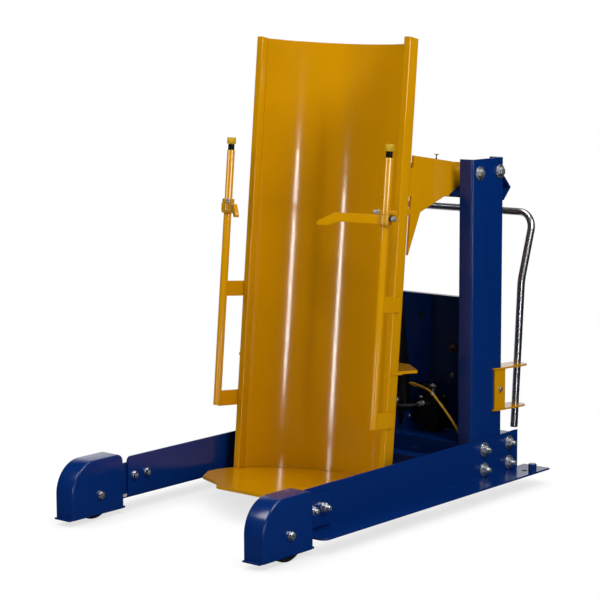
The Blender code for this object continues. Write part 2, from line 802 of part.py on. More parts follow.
def make_tie_angle():
    """An angle iron with both toes against the columns and its corner to the rear."""
    face = COLUMN_REAR + GAP
    half = TIE_LEG / sqrt(2.0)
    wall = TIE_WALL * sqrt(2.0)
    outline = [
        (face, TIE_Z + half),
        (face, TIE_Z + half - wall),
        (face + half - wall, TIE_Z),
        (face, TIE_Z - half + wall),
        (face, TIE_Z - half),
        (face + half, TIE_Z),
    ]
    keep(plate(outline, 2.0 * LEG_INNER_X, "YZ"), "rear_tie_angle", ROOT, "blue")


def make_wheel_brackets():
    for name, side in SIDES:
        middle = side * (LEG_OUTER_X + GAP + FORK_PLATE / 2.0)
        outline = rounded((
            (FORK_REAR, FORK_TOP, 0.008),
            (FORK_FRONT, FORK_TOP, 0.030),
            (FORK_FRONT, FORK_BOTTOM, 0.024),
            (COVER_REAR - 0.045, FORK_BOTTOM, 0.012),
            (COVER_REAR - 0.010, LEG_BOTTOM + LEG_WALL + LEG_BEND, 0.012),
            (FORK_REAR, LEG_BOTTOM + LEG_WALL + LEG_BEND, 0.008),
        ))
        axle_hole = ring((AXLE_Y, AXLE_Z), BOLT_HOLE_R, EDGE_COARSE)
        bracket = plate(outline, FORK_PLATE, "YZ", middle, [axle_hole])
        outside = LEG_OUTER_X + GAP + FORK_PLATE
        for y in FRONT_BOLT_YS:
            join(bracket, nut_and_bolt(LEG_INNER_X, outside, y, FRONT_BOLT_Z, side, SMALL_WASHER_R, True))
        keep(bracket, "wheel_bracket_" + name, ROOT, "blue")


def cover_outline(inset):
    """The cover's side view, or its hollow when it is set in by the wall."""
    front = COVER_FRONT + inset
    top = COVER_TOP - inset
    across = COVER_ARC_Y - front
    rise = top - COVER_ARC_Z
    points = []
    for i in range(10):
        angle = pi - (pi / 2) * i / 9
        points.append((COVER_ARC_Y + across * cos(angle), COVER_ARC_Z + rise * sin(angle)))
    return points


def make_wheel_covers():
    middle = (COVER_INNER_X + COVER_OUTER_X) / 2.0
    width = COVER_OUTER_X - COVER_INNER_X
    for name, side in SIDES:
        outline = [(COVER_FRONT, COVER_BOTTOM)] + cover_outline(0.0)
        outline += arc((COVER_REAR - COVER_REAR_CORNER, COVER_TOP - COVER_REAR_CORNER), COVER_REAR_CORNER,
                       pi / 2, 0.0, 5)
        outline += [(COVER_REAR, COVER_BOTTOM)]
        cover = soften(plate(outline, width, "YZ", side * middle), COVER_EDGE, 1, radians(60))
        half = width / 2.0 - COVER_EDGE
        lip_top = COVER_BOTTOM + COVER_LIP_THICK
        lips = box((side * middle - half, COVER_FRONT - COVER_LIP, COVER_BOTTOM),
                   (side * middle + half, COVER_REAR + COVER_LIP, lip_top))
        join(cover, lips)
        spare = 0.05
        hollow = [(COVER_FRONT + COVER_WALL, COVER_BOTTOM - spare)] + cover_outline(COVER_WALL)
        hollow += [(COVER_REAR - COVER_REAR_CORNER, COVER_TOP - COVER_WALL)]
        hollow += [(COVER_REAR - COVER_WALL, COVER_TOP - COVER_REAR_CORNER)]
        hollow += [(COVER_REAR - COVER_WALL, FORK_TOP + 0.003), (COVER_REAR + spare, FORK_TOP + 0.003)]
        hollow += [(COVER_REAR + spare, COVER_BOTTOM - spare)]
        cut(cover, plate(hollow, width - 2.0 * COVER_WALL, "YZ", side * middle))
        reach = 0.02
        cut(cover, cylinder(BOLT_HOLE_R, (side * (COVER_INNER_X - reach), AXLE_Y, AXLE_Z),
                            (side * (COVER_OUTER_X + reach), AXLE_Y, AXLE_Z), EDGE_COARSE))
        keep(cover, "wheel_cover_" + name, ROOT, "blue")


def make_front_axles():
    for name, side in SIDES:
        grip = COVER_OUTER_X - COVER_INNER_X
        sections = (
            (HEX, BOLT_FLATS / 2.0, -GAP - BOLT_HEAD, -GAP),
            (WASHER, AXLE_R, -GAP, grip + GAP),
            (HEX, BOLT_FLATS / 2.0, grip + GAP, grip + GAP + NUT_HEIGHT * 0.6),
        )
        axle = stack(sections, (side * COVER_OUTER_X, AXLE_Y, AXLE_Z), (-side, 0.0, 0.0))
        keep(axle, "front_axle_" + name, ROOT, "zinc")


def wheel_profile(radius, width, bore):
    """Half section of a wheel with a rounded tread, dished sides and a hub."""
    half = width / 2.0
    dish = half - WHEEL_DISH
    return [
        (bore, half),
        (bore, -half),
        (HUB_R, -half),
        (HUB_R + 0.004, -dish),
        (radius * 0.74, -dish),
        (radius * 0.76, -half),
        (radius - TYRE_SHOULDER, -half),
        (radius, -half + TYRE_SHOULDER),
        (radius, half - TYRE_SHOULDER),
        (radius - TYRE_SHOULDER, half),
        (radius * 0.76, half),
        (radius * 0.74, dish),
        (HUB_R + 0.004, dish),
        (HUB_R, half),
    ]


def front_wheel_middle():
    inner = LEG_OUTER_X + GAP + FORK_PLATE
    outer = COVER_OUTER_X - COVER_WALL
    return (inner + outer) / 2.0


def make_front_wheels():
    """The side gaps centre each wheel between the bracket plate and the cover."""
    inner = LEG_OUTER_X + GAP + FORK_PLATE
    outer = COVER_OUTER_X - COVER_WALL
    width = min(FRONT_WHEEL_WIDTH, outer - inner - 2.0 * GAP)
    for name, side in SIDES:
        wheel = turned(wheel_profile(AXLE_Z, width, AXLE_R + AXLE_BORE_CLEARANCE), WHEEL_SIDES)
        place_at = (side * front_wheel_middle(), AXLE_Y, AXLE_Z)
        axis = empty("front_wheel_axis_" + name, ROOT, place_at, ACROSS_X)
        keep(wheel, "front_wheel_" + name, axis, "rubber")


def make_rear_deck():
    """A formed tray between the legs, open below and notched round the columns."""
    wide = LEG_INNER_X - GAP
    narrow = COLUMN_TIP_X - 2.0 * GAP
    behind = COLUMN_REAR + 2.0 * DECK_WALL
    low = DECK_BOTTOM - DECK_SKIRT
    spare = 0.02
    deck = box((-wide, COLUMN_FRONT, low), (wide, DECK_REAR, DECK_TOP))
    hollow = box((-wide + DECK_WALL, COLUMN_FRONT + DECK_WALL, low - spare),
                 (wide - DECK_WALL, DECK_REAR - DECK_WALL, DECK_BOTTOM))
    cut(deck, hollow)
    for name, side in SIDES:
        start, end = sorted((side * narrow, side * (wide + spare)))
        cut(deck, box((start, COLUMN_FRONT - spare, low - spare), (end, behind, DECK_TOP + spare)))
        for z in LEG_BOLT_ZS:
            join(deck, leg_bolt(wide - DECK_WALL, LEG_BOLT_YS[1], z, side))
    gland_x, gland_y = CABLE_EXIT
    gland_low = (gland_x, gland_y, DECK_BOTTOM)
    gland_high = (gland_x, gland_y, DECK_TOP + CABLE_GLAND_HEIGHT)
    join(deck, cylinder(CABLE_GLAND_R, gland_low, gland_high, EDGE_COARSE))
    keep(deck, "rear_deck", ROOT, "blue")


def make_rear_panel():
    """A sheet between the columns with a folded top edge and one sight hole."""
    narrow = COLUMN_TIP_X - 2.0 * GAP
    back = COLUMN_REAR - PANEL_INSET
    foot = DECK_TOP + GAP
    outline = [(-narrow, foot), (narrow, foot), (narrow, PANEL_TOP), (-narrow, PANEL_TOP)]
    hole = ring((PANEL_HOLE_X, PANEL_HOLE_Z), PANEL_HOLE_R)
    panel = plate(outline, PANEL_WALL, "XZ", back - PANEL_WALL / 2.0, [hole])
    fold = box((-narrow, back - PANEL_WALL / 2.0, PANEL_TOP - PANEL_WALL),
               (narrow, back + PANEL_FOLD, PANEL_TOP))
    join(panel, fold)
    # A bulkhead fitting and a screw head stand on the front face.
    middle = back - PANEL_WALL / 2.0
    nut = FITTING_LENGTH / 2.0
    fitting = stack(((HEX, FITTING_R, 0.0, nut), (WASHER, FITTING_R * 0.7, nut, FITTING_LENGTH)),
                    (FITTING_X, middle, FITTING_Z), (0.0, -1.0, 0.0))
    screw = stack(((HEX, SCREW_R, 0.0, SCREW_R),), (SCREW_X, middle, SCREW_Z), (0.0, -1.0, 0.0))
    keep(join(panel, fitting, screw), "rear_panel", ROOT, "blue")


def make_casters():
    length, width, thick = CASTER_PLATE
    plate_bottom = DECK_BOTTOM - GAP - thick
    fork_top = plate_bottom - CASTER_RACE
    for name, side in SIDES:
        x = side * CASTER_X
        top = box((x - length / 2.0, CASTER_Y - width / 2.0, plate_bottom),
                  (x + length / 2.0, CASTER_Y + width / 2.0, plate_bottom + thick))
        race_top = plate_bottom + thick / 2.0
        race = cylinder(CASTER_RACE_R, (x, CASTER_Y, fork_top + GAP), (x, CASTER_Y, race_top))
        keep(join(top, race), "caster_plate_" + name, ROOT, "steel")
        swivel = empty("caster_swivel_" + name, ROOT, (x, CASTER_Y, fork_top))
        make_caster_fork(name, swivel, fork_top)


def make_caster_fork(name, swivel, fork_top):
    """Fork crown, two bent legs and the axle bolt, all in the swivel's own frame."""
    half = CASTER_WHEEL_WIDTH / 2.0 + CASTER_FORK_GAP
    crown_r = CASTER_RACE_R + 0.002
    drop = CASTER_WHEEL_R - fork_top
    crown_bottom = -0.008
    crown = cylinder(crown_r, (0.0, 0.0, crown_bottom), (0.0, 0.0, 0.0))
    outline = [(-crown_r * 0.8, 0.0), (-crown_r * 0.8, crown_bottom - 0.004)]
    outline += arc((CASTER_TRAIL, drop), 0.014, pi * 0.95, pi * 2.05, 6)
    outline += [(crown_r * 1.1, 0.0)]
    for sign in (-1, 1):
        leg = plate(outline, CASTER_FORK_WALL, "YZ", sign * (half + CASTER_FORK_WALL / 2.0))
        join(crown, leg)
    web = box((-half - CASTER_FORK_WALL / 2.0, -crown_r * 0.8, -CASTER_FORK_WALL),
              (half + CASTER_FORK_WALL / 2.0, crown_r * 1.1, 0.0))
    join(crown, web)
    reach = half + CASTER_FORK_WALL + 0.008
    join(crown, cylinder(CASTER_AXLE_R, (-reach, CASTER_TRAIL, drop), (reach, CASTER_TRAIL, drop), 12))
    keep(crown, "caster_fork_" + name, swivel, "zinc")
    axis = empty("caster_wheel_axis_" + name, swivel, (0.0, CASTER_TRAIL, drop), ACROSS_X)
    profile = wheel_profile(CASTER_WHEEL_R, CASTER_WHEEL_WIDTH, CASTER_AXLE_R + AXLE_BORE_CLEARANCE)
    keep(turned(profile, WHEEL_SIDES), "caster_wheel_" + name, axis, "rubber")


def handle_path():
    foot = (HANDLE_X, *HANDLE_FOOT)
    knee = (HANDLE_X, *HANDLE_KNEE)
    top = (HANDLE_X, *HANDLE_TOP)
    right = (foot, knee, top)
    left = tuple((-x, y, z) for x, y, z in right)
    bends = (HANDLE_KNEE_BEND, HANDLE_CORNER_BEND, HANDLE_CORNER_BEND, HANDLE_KNEE_BEND)
    return fillet_path((*right, *left[::-1]), bends)


def make_push_handle():
    keep(tube(handle_path(), TUBE_R), "push_handle", ROOT, "chrome")


def handle_y(z):
    """Where the handle's straight lower run is at a height."""
    share = (z - HANDLE_FOOT[1]) / (HANDLE_KNEE[1] - HANDLE_FOOT[1])
    return HANDLE_FOOT[0] + share * (HANDLE_KNEE[0] - HANDLE_FOOT[0])


def make_handle_brackets():
    """A plate on each column with two round-ended tabs that hold the handle's tube."""
    lean = atan2(HANDLE_KNEE[0] - HANDLE_FOOT[0], HANDLE_KNEE[1] - HANDLE_FOOT[1])
    outer = LEG_INNER_X + BRACKET_WALL - GAP
    start = COLUMN_REAR + GAP
    for name, side in SIDES:
        outline = [(BRACKET_FRONT, BRACKET_BOTTOM), (BRACKET_REAR, BRACKET_BOTTOM),
                   (BRACKET_REAR, BRACKET_TOP), (BRACKET_FRONT, BRACKET_TOP)]
        middle = side * (LEG_INNER_X + GAP / 2.0 + BRACKET_WALL / 2.0)
        bracket = plate(outline, BRACKET_WALL - GAP, "YZ", middle)
        for edge in (BRACKET_BOTTOM + BRACKET_WALL / 2.0, BRACKET_TOP - BRACKET_WALL / 2.0):
            # Each tab is drawn from the column's rear face and then leans square to the tube.
            seat_y = handle_y(edge - (HANDLE_FOOT[0] - start) * sin(lean))
            reach = (seat_y - start) / cos(lean)
            end_r = outer - HANDLE_X
            inner_x = HANDLE_X - end_r
            tab = [(outer, 0.0)] + arc((HANDLE_X, reach), end_r, 0.0, pi, 10)
            tab += [(inner_x, 0.012), (inner_x + 0.012, 0.0)]
            tab = [(side * u, v) for u, v in tab]
            bore = ring((side * HANDLE_X, reach), TUBE_R + BRACKET_BORE_CLEARANCE, EDGE_FINE)
            piece = plate(tab, BRACKET_WALL, "XY", 0.0, [bore])
            piece.data.transform(Matrix.Translation((0.0, start, edge)) @ Matrix.Rotation(-lean, 4, "X"))
            join(bracket, piece)
        outside = LEG_INNER_X + BRACKET_WALL
        join(bracket, nut_and_bolt(COLUMN_INNER_X - GAP, outside, BRACKET_BOLT_Y, BRACKET_BOLT_Z, side,
                                   BRACKET_WASHER_R, False, BRACKET_BOLT_FLATS))
        keep(bracket, "handle_bracket_" + name, ROOT, "yellow")


def make_stop_bar():
    front = STOP_BAR_REAR - STOP_BAR_SIZE
    top = STOP_BAR_BOTTOM + STOP_BAR_SIZE
    ends = LEG_INNER_X - GAP
    bar = box((-ends, front, STOP_BAR_BOTTOM), (ends, STOP_BAR_REAR, top))
    keep(soften(bar, 0.004), "stop_bar", ROOT, "blue")
    # A bumper's face is clear of the chute at the corner where the chute comes nearest.
    z = (STOP_BAR_BOTTOM + top) / 2.0
    near_y = chute_y(BUMPER_X - BUMPER_R)
    local_z = (z + BUMPER_R - FOOT_PLATE_Z + near_y * sin(TILT)) / cos(TILT)
    face, _ = tilted(near_y, local_z)
    for name, side in SIDES:
        bumper = cylinder(BUMPER_R, (side * BUMPER_X, face + GAP, z), (side * BUMPER_X, front - GAP, z))
        keep(bumper, "stop_bumper_" + name, ROOT, "rubber")


def make_chute():
    rail_rear = RAIL_FRONT + RAIL_DEPTH
    # Both edges of the sheet stand on the rear faces of the edge tubes.
    seat = rail_rear + GAP + CHUTE_SET
    centre = (0.0, -CHUTE_SET)
    inner_r = CHUTE_R - CHUTE_WALL
    outer_start = asin(seat / CHUTE_R)
    inner_start = asin(seat / inner_r)
    outer = arc(centre, CHUTE_R, outer_start, pi - outer_start, CHUTE_FACETS)
    inner = arc(centre, inner_r, pi - inner_start, inner_start, CHUTE_FACETS)
    sheet = plate(outer + inner, CHUTE_TOP - GAP, "XY", (CHUTE_TOP + GAP) / 2.0)
    keep(sheet, "chute_sheet", CARRIAGE, "yellow")
    for name, side in SIDES:
        middle = side * (RAIL_OUTER_X - RAIL_WIDTH / 2.0)
        rail = box((middle - RAIL_WIDTH / 2.0, RAIL_FRONT, GAP),
                   (middle + RAIL_WIDTH / 2.0, rail_rear, CHUTE_TOP))
        soften(rail, 0.0025)
        core = box((middle - RAIL_WIDTH / 2.0 + RAIL_WALL, RAIL_FRONT + RAIL_WALL, -0.01),
                   (middle + RAIL_WIDTH / 2.0 - RAIL_WALL, rail_rear - RAIL_WALL, CHUTE_TOP - RAIL_WALL))
        keep(cut(rail, core), "edge_tube_" + name, CARRIAGE, "yellow")


def make_foot_plate():
    rail_rear = RAIL_FRONT + RAIL_DEPTH
    wide = RAIL_OUTER_X
    outline = rounded((
        (-FOOT_PLATE_NOSE, -FOOT_PLATE_FRONT, 0.020),
        (FOOT_PLATE_NOSE, -FOOT_PLATE_FRONT, 0.020),
        (wide * 0.76, -FOOT_PLATE_FRONT * 0.666, 0.060),
        (wide * 0.955, -FOOT_PLATE_FRONT * 0.37, 0.040),
        (wide, -0.05, 0.020),
        (wide, rail_rear, 0.0),
    ))
    start = asin((rail_rear + CHUTE_SET) / (CHUTE_R + 0.004))
    back = arc((0.0, -CHUTE_SET), CHUTE_R + 0.004, start, pi - start, 24)
    left = rounded((
        (-wide, rail_rear, 0.0),
        (-wide, -0.05, 0.020),
        (-wide * 0.955, -FOOT_PLATE_FRONT * 0.37, 0.040),
        (-wide * 0.76, -FOOT_PLATE_FRONT * 0.666, 0.060),
        (-FOOT_PLATE_NOSE, -FOOT_PLATE_FRONT, 0.020),
        (FOOT_PLATE_NOSE, -FOOT_PLATE_FRONT, 0.020),
    ))
    nose_points = 5
    whole = outline[:-1] + [(wide, rail_rear)] + back + left[:-2 * nose_points]
    plate_solid = plate(whole, FOOT_PLATE_THICK, "XY", -FOOT_PLATE_THICK / 2.0)
    keep(plate_solid, "foot_plate", CARRIAGE, "yellow")


def make_back_rib():
    """A flat rib hugging the chute's back between the edge tubes."""
    seat = CHUTE_R + GAP
    front = RAIL_FRONT + RAIL_DEPTH + 0.004
    start = asin((front + CHUTE_SET) / seat)
    hollow = arc((0.0, -CHUTE_SET), seat, start, pi - start, 32)
    side_x = seat * cos(start) + 0.006
    rear = CHUTE_R - CHUTE_SET + RIB_DEPTH
    diagonal = rear - RIB_SHOULDER_Y
    outer = [(-side_x, front), (-side_x, RIB_SHOULDER_Y), (-side_x + diagonal, rear),
             (side_x - diagonal, rear), (side_x, RIB_SHOULDER_Y), (side_x, front)]
    keep(plate(hollow + outer, RIB_THICK, "XY", RIB_Z + RIB_THICK / 2.0), "back_rib", CARRIAGE, "yellow")


def make_tilt_arms():
    inner = ARM_X - ARM_WALL
    seat = chute_y(inner) + GAP
    (upper_low, upper_high), (lower_low, lower_high) = ARM_TABS
    outline = [
        (ARM_FRONT, ARM_TOP_FRONT),
        (ARM_FRONT, upper_high), (seat, upper_high), (seat, upper_low), (ARM_FRONT, upper_low),
        (ARM_FRONT, lower_high), (seat, lower_high), (seat, lower_low), (ARM_FRONT, lower_low),
        (ARM_FRONT, ARM_FOOT), *ARM_GUSSET, (ARM_REAR, ARM_HEEL), (ARM_REAR, ARM_TOP_REAR),
    ]
    lug_x = inner - GAP
    top = ARM_TOP_REAR - 0.002
    hub = arc((PIVOT_LOCAL_Y, PIVOT_LOCAL_Z), LUG_HUB_R, pi / 2, -pi / 2 - 0.25, 12)
    lug_outline = [(LUG_START_Y, top)] + hub + [(ARM_REAR, ARM_HEEL), (LUG_START_Y, ARM_HEEL)]
    for name, side in SIDES:
        arm = plate(outline, ARM_WALL, "YZ", side * (ARM_X - ARM_WALL / 2.0))
        # The lug overlaps the arm's inner face by a hair so that the weld makes one body.
        lug = plate(lug_outline, LUG_WALL, "YZ", side * (lug_x - LUG_WALL / 2.0 + 2.0 * GAP))
        join(arm, lug)
        bore_from = (side * (inner + 0.01), PIVOT_LOCAL_Y, PIVOT_LOCAL_Z)
        bore_to = (side * (lug_x - LUG_WALL - 0.01), PIVOT_LOCAL_Y, PIVOT_LOCAL_Z)
        cut(arm, cylinder(SHAFT_R + GAP, bore_from, bore_to))
        keep(arm, "tilt_arm_" + name, CARRIAGE, "yellow")


def make_pivot_shaft():
    end = COLUMN_INNER_X - 2.0 * GAP - 0.002
    shaft = cylinder(SHAFT_R, (-end, PIVOT_LOCAL_Y, PIVOT_LOCAL_Z), (end, PIVOT_LOCAL_Y, PIVOT_LOCAL_Z))
    keep(shaft, "pivot_shaft", CARRIAGE, "steel")


def make_cross_beam():
    """A square tube between the tilt arms, behind the chute."""
    lug_face = ARM_X - ARM_WALL + GAP - LUG_WALL
    ends = lug_face - GAP
    front = CHUTE_R - CHUTE_SET + GAP
    half = BEAM_SIZE / 2.0
    beam = box((-ends, front, BEAM_Z - half), (ends, front + BEAM_SIZE, BEAM_Z + half))
    soften(beam, 0.005)
    inside = half - BEAM_WALL
    centre = front + half
    core = box((-ends - 0.01, centre - inside, BEAM_Z - inside),
               (ends + 0.01, centre + inside, BEAM_Z + inside))
    keep(cut(beam, core), "cross_beam", CARRIAGE, "yellow")


def make_cylinder_lugs():
    """Two ears under the cross beam with stub pins that face the rod's eye."""
    front = CHUTE_R - CHUTE_SET + GAP
    beam_low = BEAM_Z - BEAM_SIZE / 2.0 - GAP
    rear = front + BEAM_SIZE
    eye_half = EYE_WIDTH / 2.0
    ear_inner = eye_half + EAR_SIDE_GAP
    ears = []
    for name, side in SIDES:
        outline = [(front, beam_low), (front, beam_low - 0.075)]
        outline += arc((EYE_LOCAL_Y, EYE_LOCAL_Z), EAR_R, -pi * 0.6, pi * 0.28, 10)
        outline += [(rear, beam_low)]
        ears.append(plate(outline, EAR_WALL, "YZ", side * (ear_inner + EAR_WALL / 2.0)))
    bridge_half = ear_inner + EAR_WALL / 2.0
    bridge = box((-bridge_half, front, beam_low - 0.006), (bridge_half, rear, beam_low))
    lugs = join(ears[0], bridge, ears[1])
    for side in (1, -1):
        stub_from = side * (ear_inner - EAR_SIDE_GAP + GAP)
        stub_to = side * (ear_inner + EAR_WALL + 0.006)
        join(lugs, cylinder(CYLINDER_PIN_R, (stub_from, EYE_LOCAL_Y, EYE_LOCAL_Z),
                            (stub_to, EYE_LOCAL_Y, EYE_LOCAL_Z), EDGE_COARSE))
    keep(lugs, "cylinder_lugs", CARRIAGE, "yellow")


def cylinder_lean_and_length(turn):
    """The cylinder's lean towards the front and its length when the carriage has turned."""
    y, z = ROD_EYE_OFFSET
    eye_y = PIVOT_Y + y * cos(turn) + z * sin(turn)
    eye_z = PIVOT_Z - y * sin(turn) + z * cos(turn)
    across = eye_y - CYLINDER_PIN_Y
    up = eye_z - CYLINDER_PIN_Z
    return atan2(-across, up), sqrt(across ** 2 + up ** 2)


def make_cylinder():
    lean, length = cylinder_lean_and_length(0.0)
    axis = empty("cylinder_axis", ROOT, (0.0, CYLINDER_PIN_Y, CYLINDER_PIN_Z), (lean, 0.0, 0.0))
    half = EYE_WIDTH / 2.0
    bore_r = CYLINDER_PIN_R + PIN_CLEARANCE
    neck = EYE_R * 0.75
    body = cylinder(BARREL_R, (0.0, 0.0, EYE_R + 0.010), (0.0, 0.0, BARREL_LENGTH))
    gland_from = BARREL_LENGTH - GLAND_LENGTH
    join(body, cylinder(GLAND_R, (0.0, 0.0, gland_from), (0.0, 0.0, BARREL_LENGTH + 0.006)))
    join(body, cylinder(EYE_R, (-half, 0.0, 0.0), (half, 0.0, 0.0)))
    join(body, box((-half + 0.002, -neck, 0.0), (half - 0.002, neck, EYE_R + 0.014)))
    # The oil port faces the front, where the hose leaves it.
    inside = -BARREL_R + 0.006
    join(body, cylinder(PORT_R, (0.0, inside, PORT_HEIGHT), (0.0, -PORT_REACH, PORT_HEIGHT), EDGE_COARSE))
    rod_hole = ROD_R + PIN_CLEARANCE
    cut(body, cylinder(bore_r, (-half - 0.01, 0.0, 0.0), (half + 0.01, 0.0, 0.0)))
    cut(body, cylinder(rod_hole, (0.0, 0.0, EYE_R + 0.028), (0.0, 0.0, BARREL_LENGTH + 0.02)))
    keep(body, "cylinder_barrel", axis, "black")

    rod_axis = empty("rod_axis", axis, (0.0, 0.0, length))
    # The rod is necked down where it passes between the ears.
    shoulder = -EAR_R - 0.006
    rod = cylinder(ROD_R, (0.0, 0.0, EYE_R + 0.034 - length), (0.0, 0.0, shoulder))
    join(rod, cylinder(half - 0.0005, (0.0, 0.0, shoulder - 0.01), (0.0, 0.0, -EYE_R * 0.6), EDGE_COARSE))
    join(rod, cylinder(EYE_R, (-half, 0.0, 0.0), (half, 0.0, 0.0)))
    cut(rod, cylinder(bore_r, (-half - 0.01, 0.0, 0.0), (half + 0.01, 0.0, 0.0)))
    keep(rod, "cylinder_rod", rod_axis, "chrome")


def make_cylinder_mount():
    half = EYE_WIDTH / 2.0 + EAR_SIDE_GAP
    base_half = half + EAR_WALL + 0.014
    floor = DECK_TOP + GAP
    length = BRACKET_BASE_HALF
    base = box((-base_half, CYLINDER_PIN_Y - length, floor),
               (base_half, CYLINDER_PIN_Y + length, floor + 0.008))
    bore_r = CYLINDER_PIN_R + 2.0 * GAP
    for sign in (-1, 1):
        outline = [(CYLINDER_PIN_Y - length + 0.006, floor + 0.004)]
        outline += arc((CYLINDER_PIN_Y, CYLINDER_PIN_Z), EAR_R * 0.9, pi * 0.85, pi * 0.15, 8)
        outline += [(CYLINDER_PIN_Y + length - 0.006, floor + 0.004)]
        hole = ring((CYLINDER_PIN_Y, CYLINDER_PIN_Z), bore_r)
        join(base, plate(outline, EAR_WALL, "YZ", sign * (half + EAR_WALL / 2.0), [hole]))
    keep(base, "cylinder_bracket", ROOT, "blue")
    reach = half + EAR_WALL + 0.006
    head = reach + 0.006
    ear_face = -half - EAR_WALL - GAP
    pin = stack(((WASHER, 0.014, -head, ear_face), (WASHER, CYLINDER_PIN_R, ear_face, reach)),
                (0.0, CYLINDER_PIN_Y, CYLINDER_PIN_Z), (-1.0, 0.0, 0.0))
    keep(pin, "cylinder_pin", ROOT, "zinc")


def make_posts():
    thread_top = POST_TOP + THREAD_LENGTH
    for name, side in SIDES:
        x = side * POST_X
        post = cylinder(TUBE_R, (x, POST_Y, POST_BOTTOM), (x, POST_Y, POST_TOP))
        # The tabs lie on the outer faces of the edge tubes.
        tab_x = RAIL_OUTER_X + GAP + POST_TAB_WALL / 2.0
        for low, high in POST_TABS:
            outline = [(POST_Y, low), (POST_TAB_REAR, low), (POST_TAB_REAR, high), (POST_Y, high)]
            join(post, plate(outline, POST_TAB_WALL, "YZ", side * tab_x))
        join(post, cylinder(TUBE_R - 0.001, (x, POST_Y, POST_TOP - THREAD_LENGTH), (x, POST_Y, thread_top)))
        keep(post, "clamp_post_" + name, CARRIAGE, "yellow")
        cap = cylinder(CAP_R, (x, POST_Y, thread_top + GAP), (x, POST_Y, thread_top + CAP_HEIGHT))
        keep(soften(cap, 0.0015), "post_cap_" + name, CARRIAGE, "yellow")


def make_clamps():
    bore = TUBE_R + COLLAR_CLEARANCE
    neck_top = COLLAR_SPLIT
    flange_top = COLLAR_BOTTOM + COLLAR_FLANGE
    middle = (COLLAR_BOTTOM + COLLAR_TOP) / 2.0
    profile = [
        (bore, COLLAR_TOP - middle),
        (bore, COLLAR_BOTTOM - middle),
        (COLLAR_R, COLLAR_BOTTOM - middle),
        (COLLAR_R, flange_top - middle),
        (COLLAR_NECK_R, flange_top - middle),
        (COLLAR_NECK_R, neck_top - middle),
        (COLLAR_R, neck_top - middle),
        (COLLAR_R, COLLAR_TOP - middle),
    ]
    for name, side in SIDES:
        axis = empty("clamp_axis_" + name, CARRIAGE, (side * POST_X, POST_Y, middle))
        collar = turned(profile)
        bolt_z = (COLLAR_TOP + COLLAR_SPLIT) / 2.0 - middle
        for sign in (-1, 1):
            sections = (
                (SHANK, SET_BOLT_FLATS * 0.36, 0.0, 0.010),
                (HEX, SET_BOLT_FLATS / 2.0, 0.010, SET_BOLT_REACH),
            )
            start = sign * (COLLAR_R - 0.003)
            join(collar, stack(sections, (start, 0.0, bolt_z), (sign, 0.0, 0.0)))
        keep(collar, "clamp_collar_" + name, axis, "yellow")
        keep(clamp_arm(side, middle), "clamp_arm_" + name, axis, "yellow")


def clamp_arm(side, middle):
    """A sleeve round the collar's neck with a flat bar and a hooked tip over the load's rim."""
    low = COLLAR_BOTTOM + COLLAR_FLANGE + 2.0 * GAP - middle
    high = COLLAR_SPLIT - 2.0 * GAP - middle
    inner = COLLAR_NECK_R + SLEEVE_CLEARANCE
    sleeve = turned([(inner, high), (inner, low), (SLEEVE_R, low), (SLEEVE_R, high)])
    reach = sqrt(CLAMP_REACH[0] ** 2 + CLAMP_REACH[1] ** 2)
    top = high
    bottom = top - ARM_BAR_HEIGHT + 0.001
    knee = reach - CLAMP_HOOK_LENGTH
    root = inner + 0.003
    outline = rounded((
        (root, top, 0.0),
        (knee, top, 0.012),
        (reach, top - CLAMP_HOOK_DROP, 0.006),
        (reach, bottom - CLAMP_HOOK_DROP, 0.004),
        (knee - 0.006, bottom, 0.012),
        (root, bottom, 0.0),
    ), 3)
    bar = plate(outline, ARM_BAR_WALL, "XZ")
    turn = atan2(-CLAMP_REACH[1], -side * CLAMP_REACH[0])
    bar.data.transform(Matrix.Rotation(turn, 4, "Z"))
    return join(sleeve, bar)


def make_wing_screw():
    x = ARM_X - ARM_WALL / 2.0
    share = (WING_Y - ARM_FRONT) / (ARM_REAR - ARM_FRONT)
    foot = ARM_TOP_FRONT + share * (ARM_TOP_REAR - ARM_TOP_FRONT) + GAP
    top = foot + WING_HEIGHT
    screw = cylinder(WING_STEM_R, (x, WING_Y, foot), (x, WING_Y, top), 12)
    half = WING_SPAN / 2.0
    wings = [(-half, top), (-half * 0.8, top - 0.002), (-0.002, top - 0.006), (0.002, top - 0.006),
             (half * 0.8, top - 0.002), (half, top)]
    join(screw, plate([(x + u, v) for u, v in wings], 0.003, "XZ", WING_Y))
    keep(screw, "wing_screw", CARRIAGE, "black")


def unit_rear():
    """The power unit's rear side, just in front of the panel."""
    return COLUMN_REAR - PANEL_INSET - PANEL_WALL - UNIT_CLEARANCE


def make_power_unit():
    length, width, height = TANK_SIZE
    rear = unit_rear()
    low = (TANK_X - length / 2.0, rear - width, DECK_TOP + GAP)
    high = (TANK_X + length / 2.0, rear, DECK_TOP + height)
    keep(soften(box(low, high), TANK_EDGE, 2), "hydraulic_tank", ROOT, "black")
    top = DECK_TOP + height
    y = rear - width / 2.0
    z = top + GAP
    profile = [
        (0.0, z), (MOTOR_R * 0.9, z), (MOTOR_R * 0.9, z + MOTOR_NECK), (MOTOR_R, z + MOTOR_NECK + 0.002),
        (MOTOR_R, z + MOTOR_HEIGHT - 0.014), (MOTOR_R - 0.010, z + MOTOR_HEIGHT), (0.0, z + MOTOR_HEIGHT),
    ]
    motor = turned(profile)
    motor.data.transform(Matrix.Translation((TANK_X, y, 0.0)))
    box_x = TANK_X + MOTOR_R
    half = TERMINAL_SIZE / 2.0
    middle = z + MOTOR_HEIGHT / 2.0
    terminal = box((box_x - 0.012, y - half, middle - half), (box_x + half, y + half, middle + half))
    keep(join(motor, soften(terminal, 0.004)), "pump_motor", ROOT, "iron")


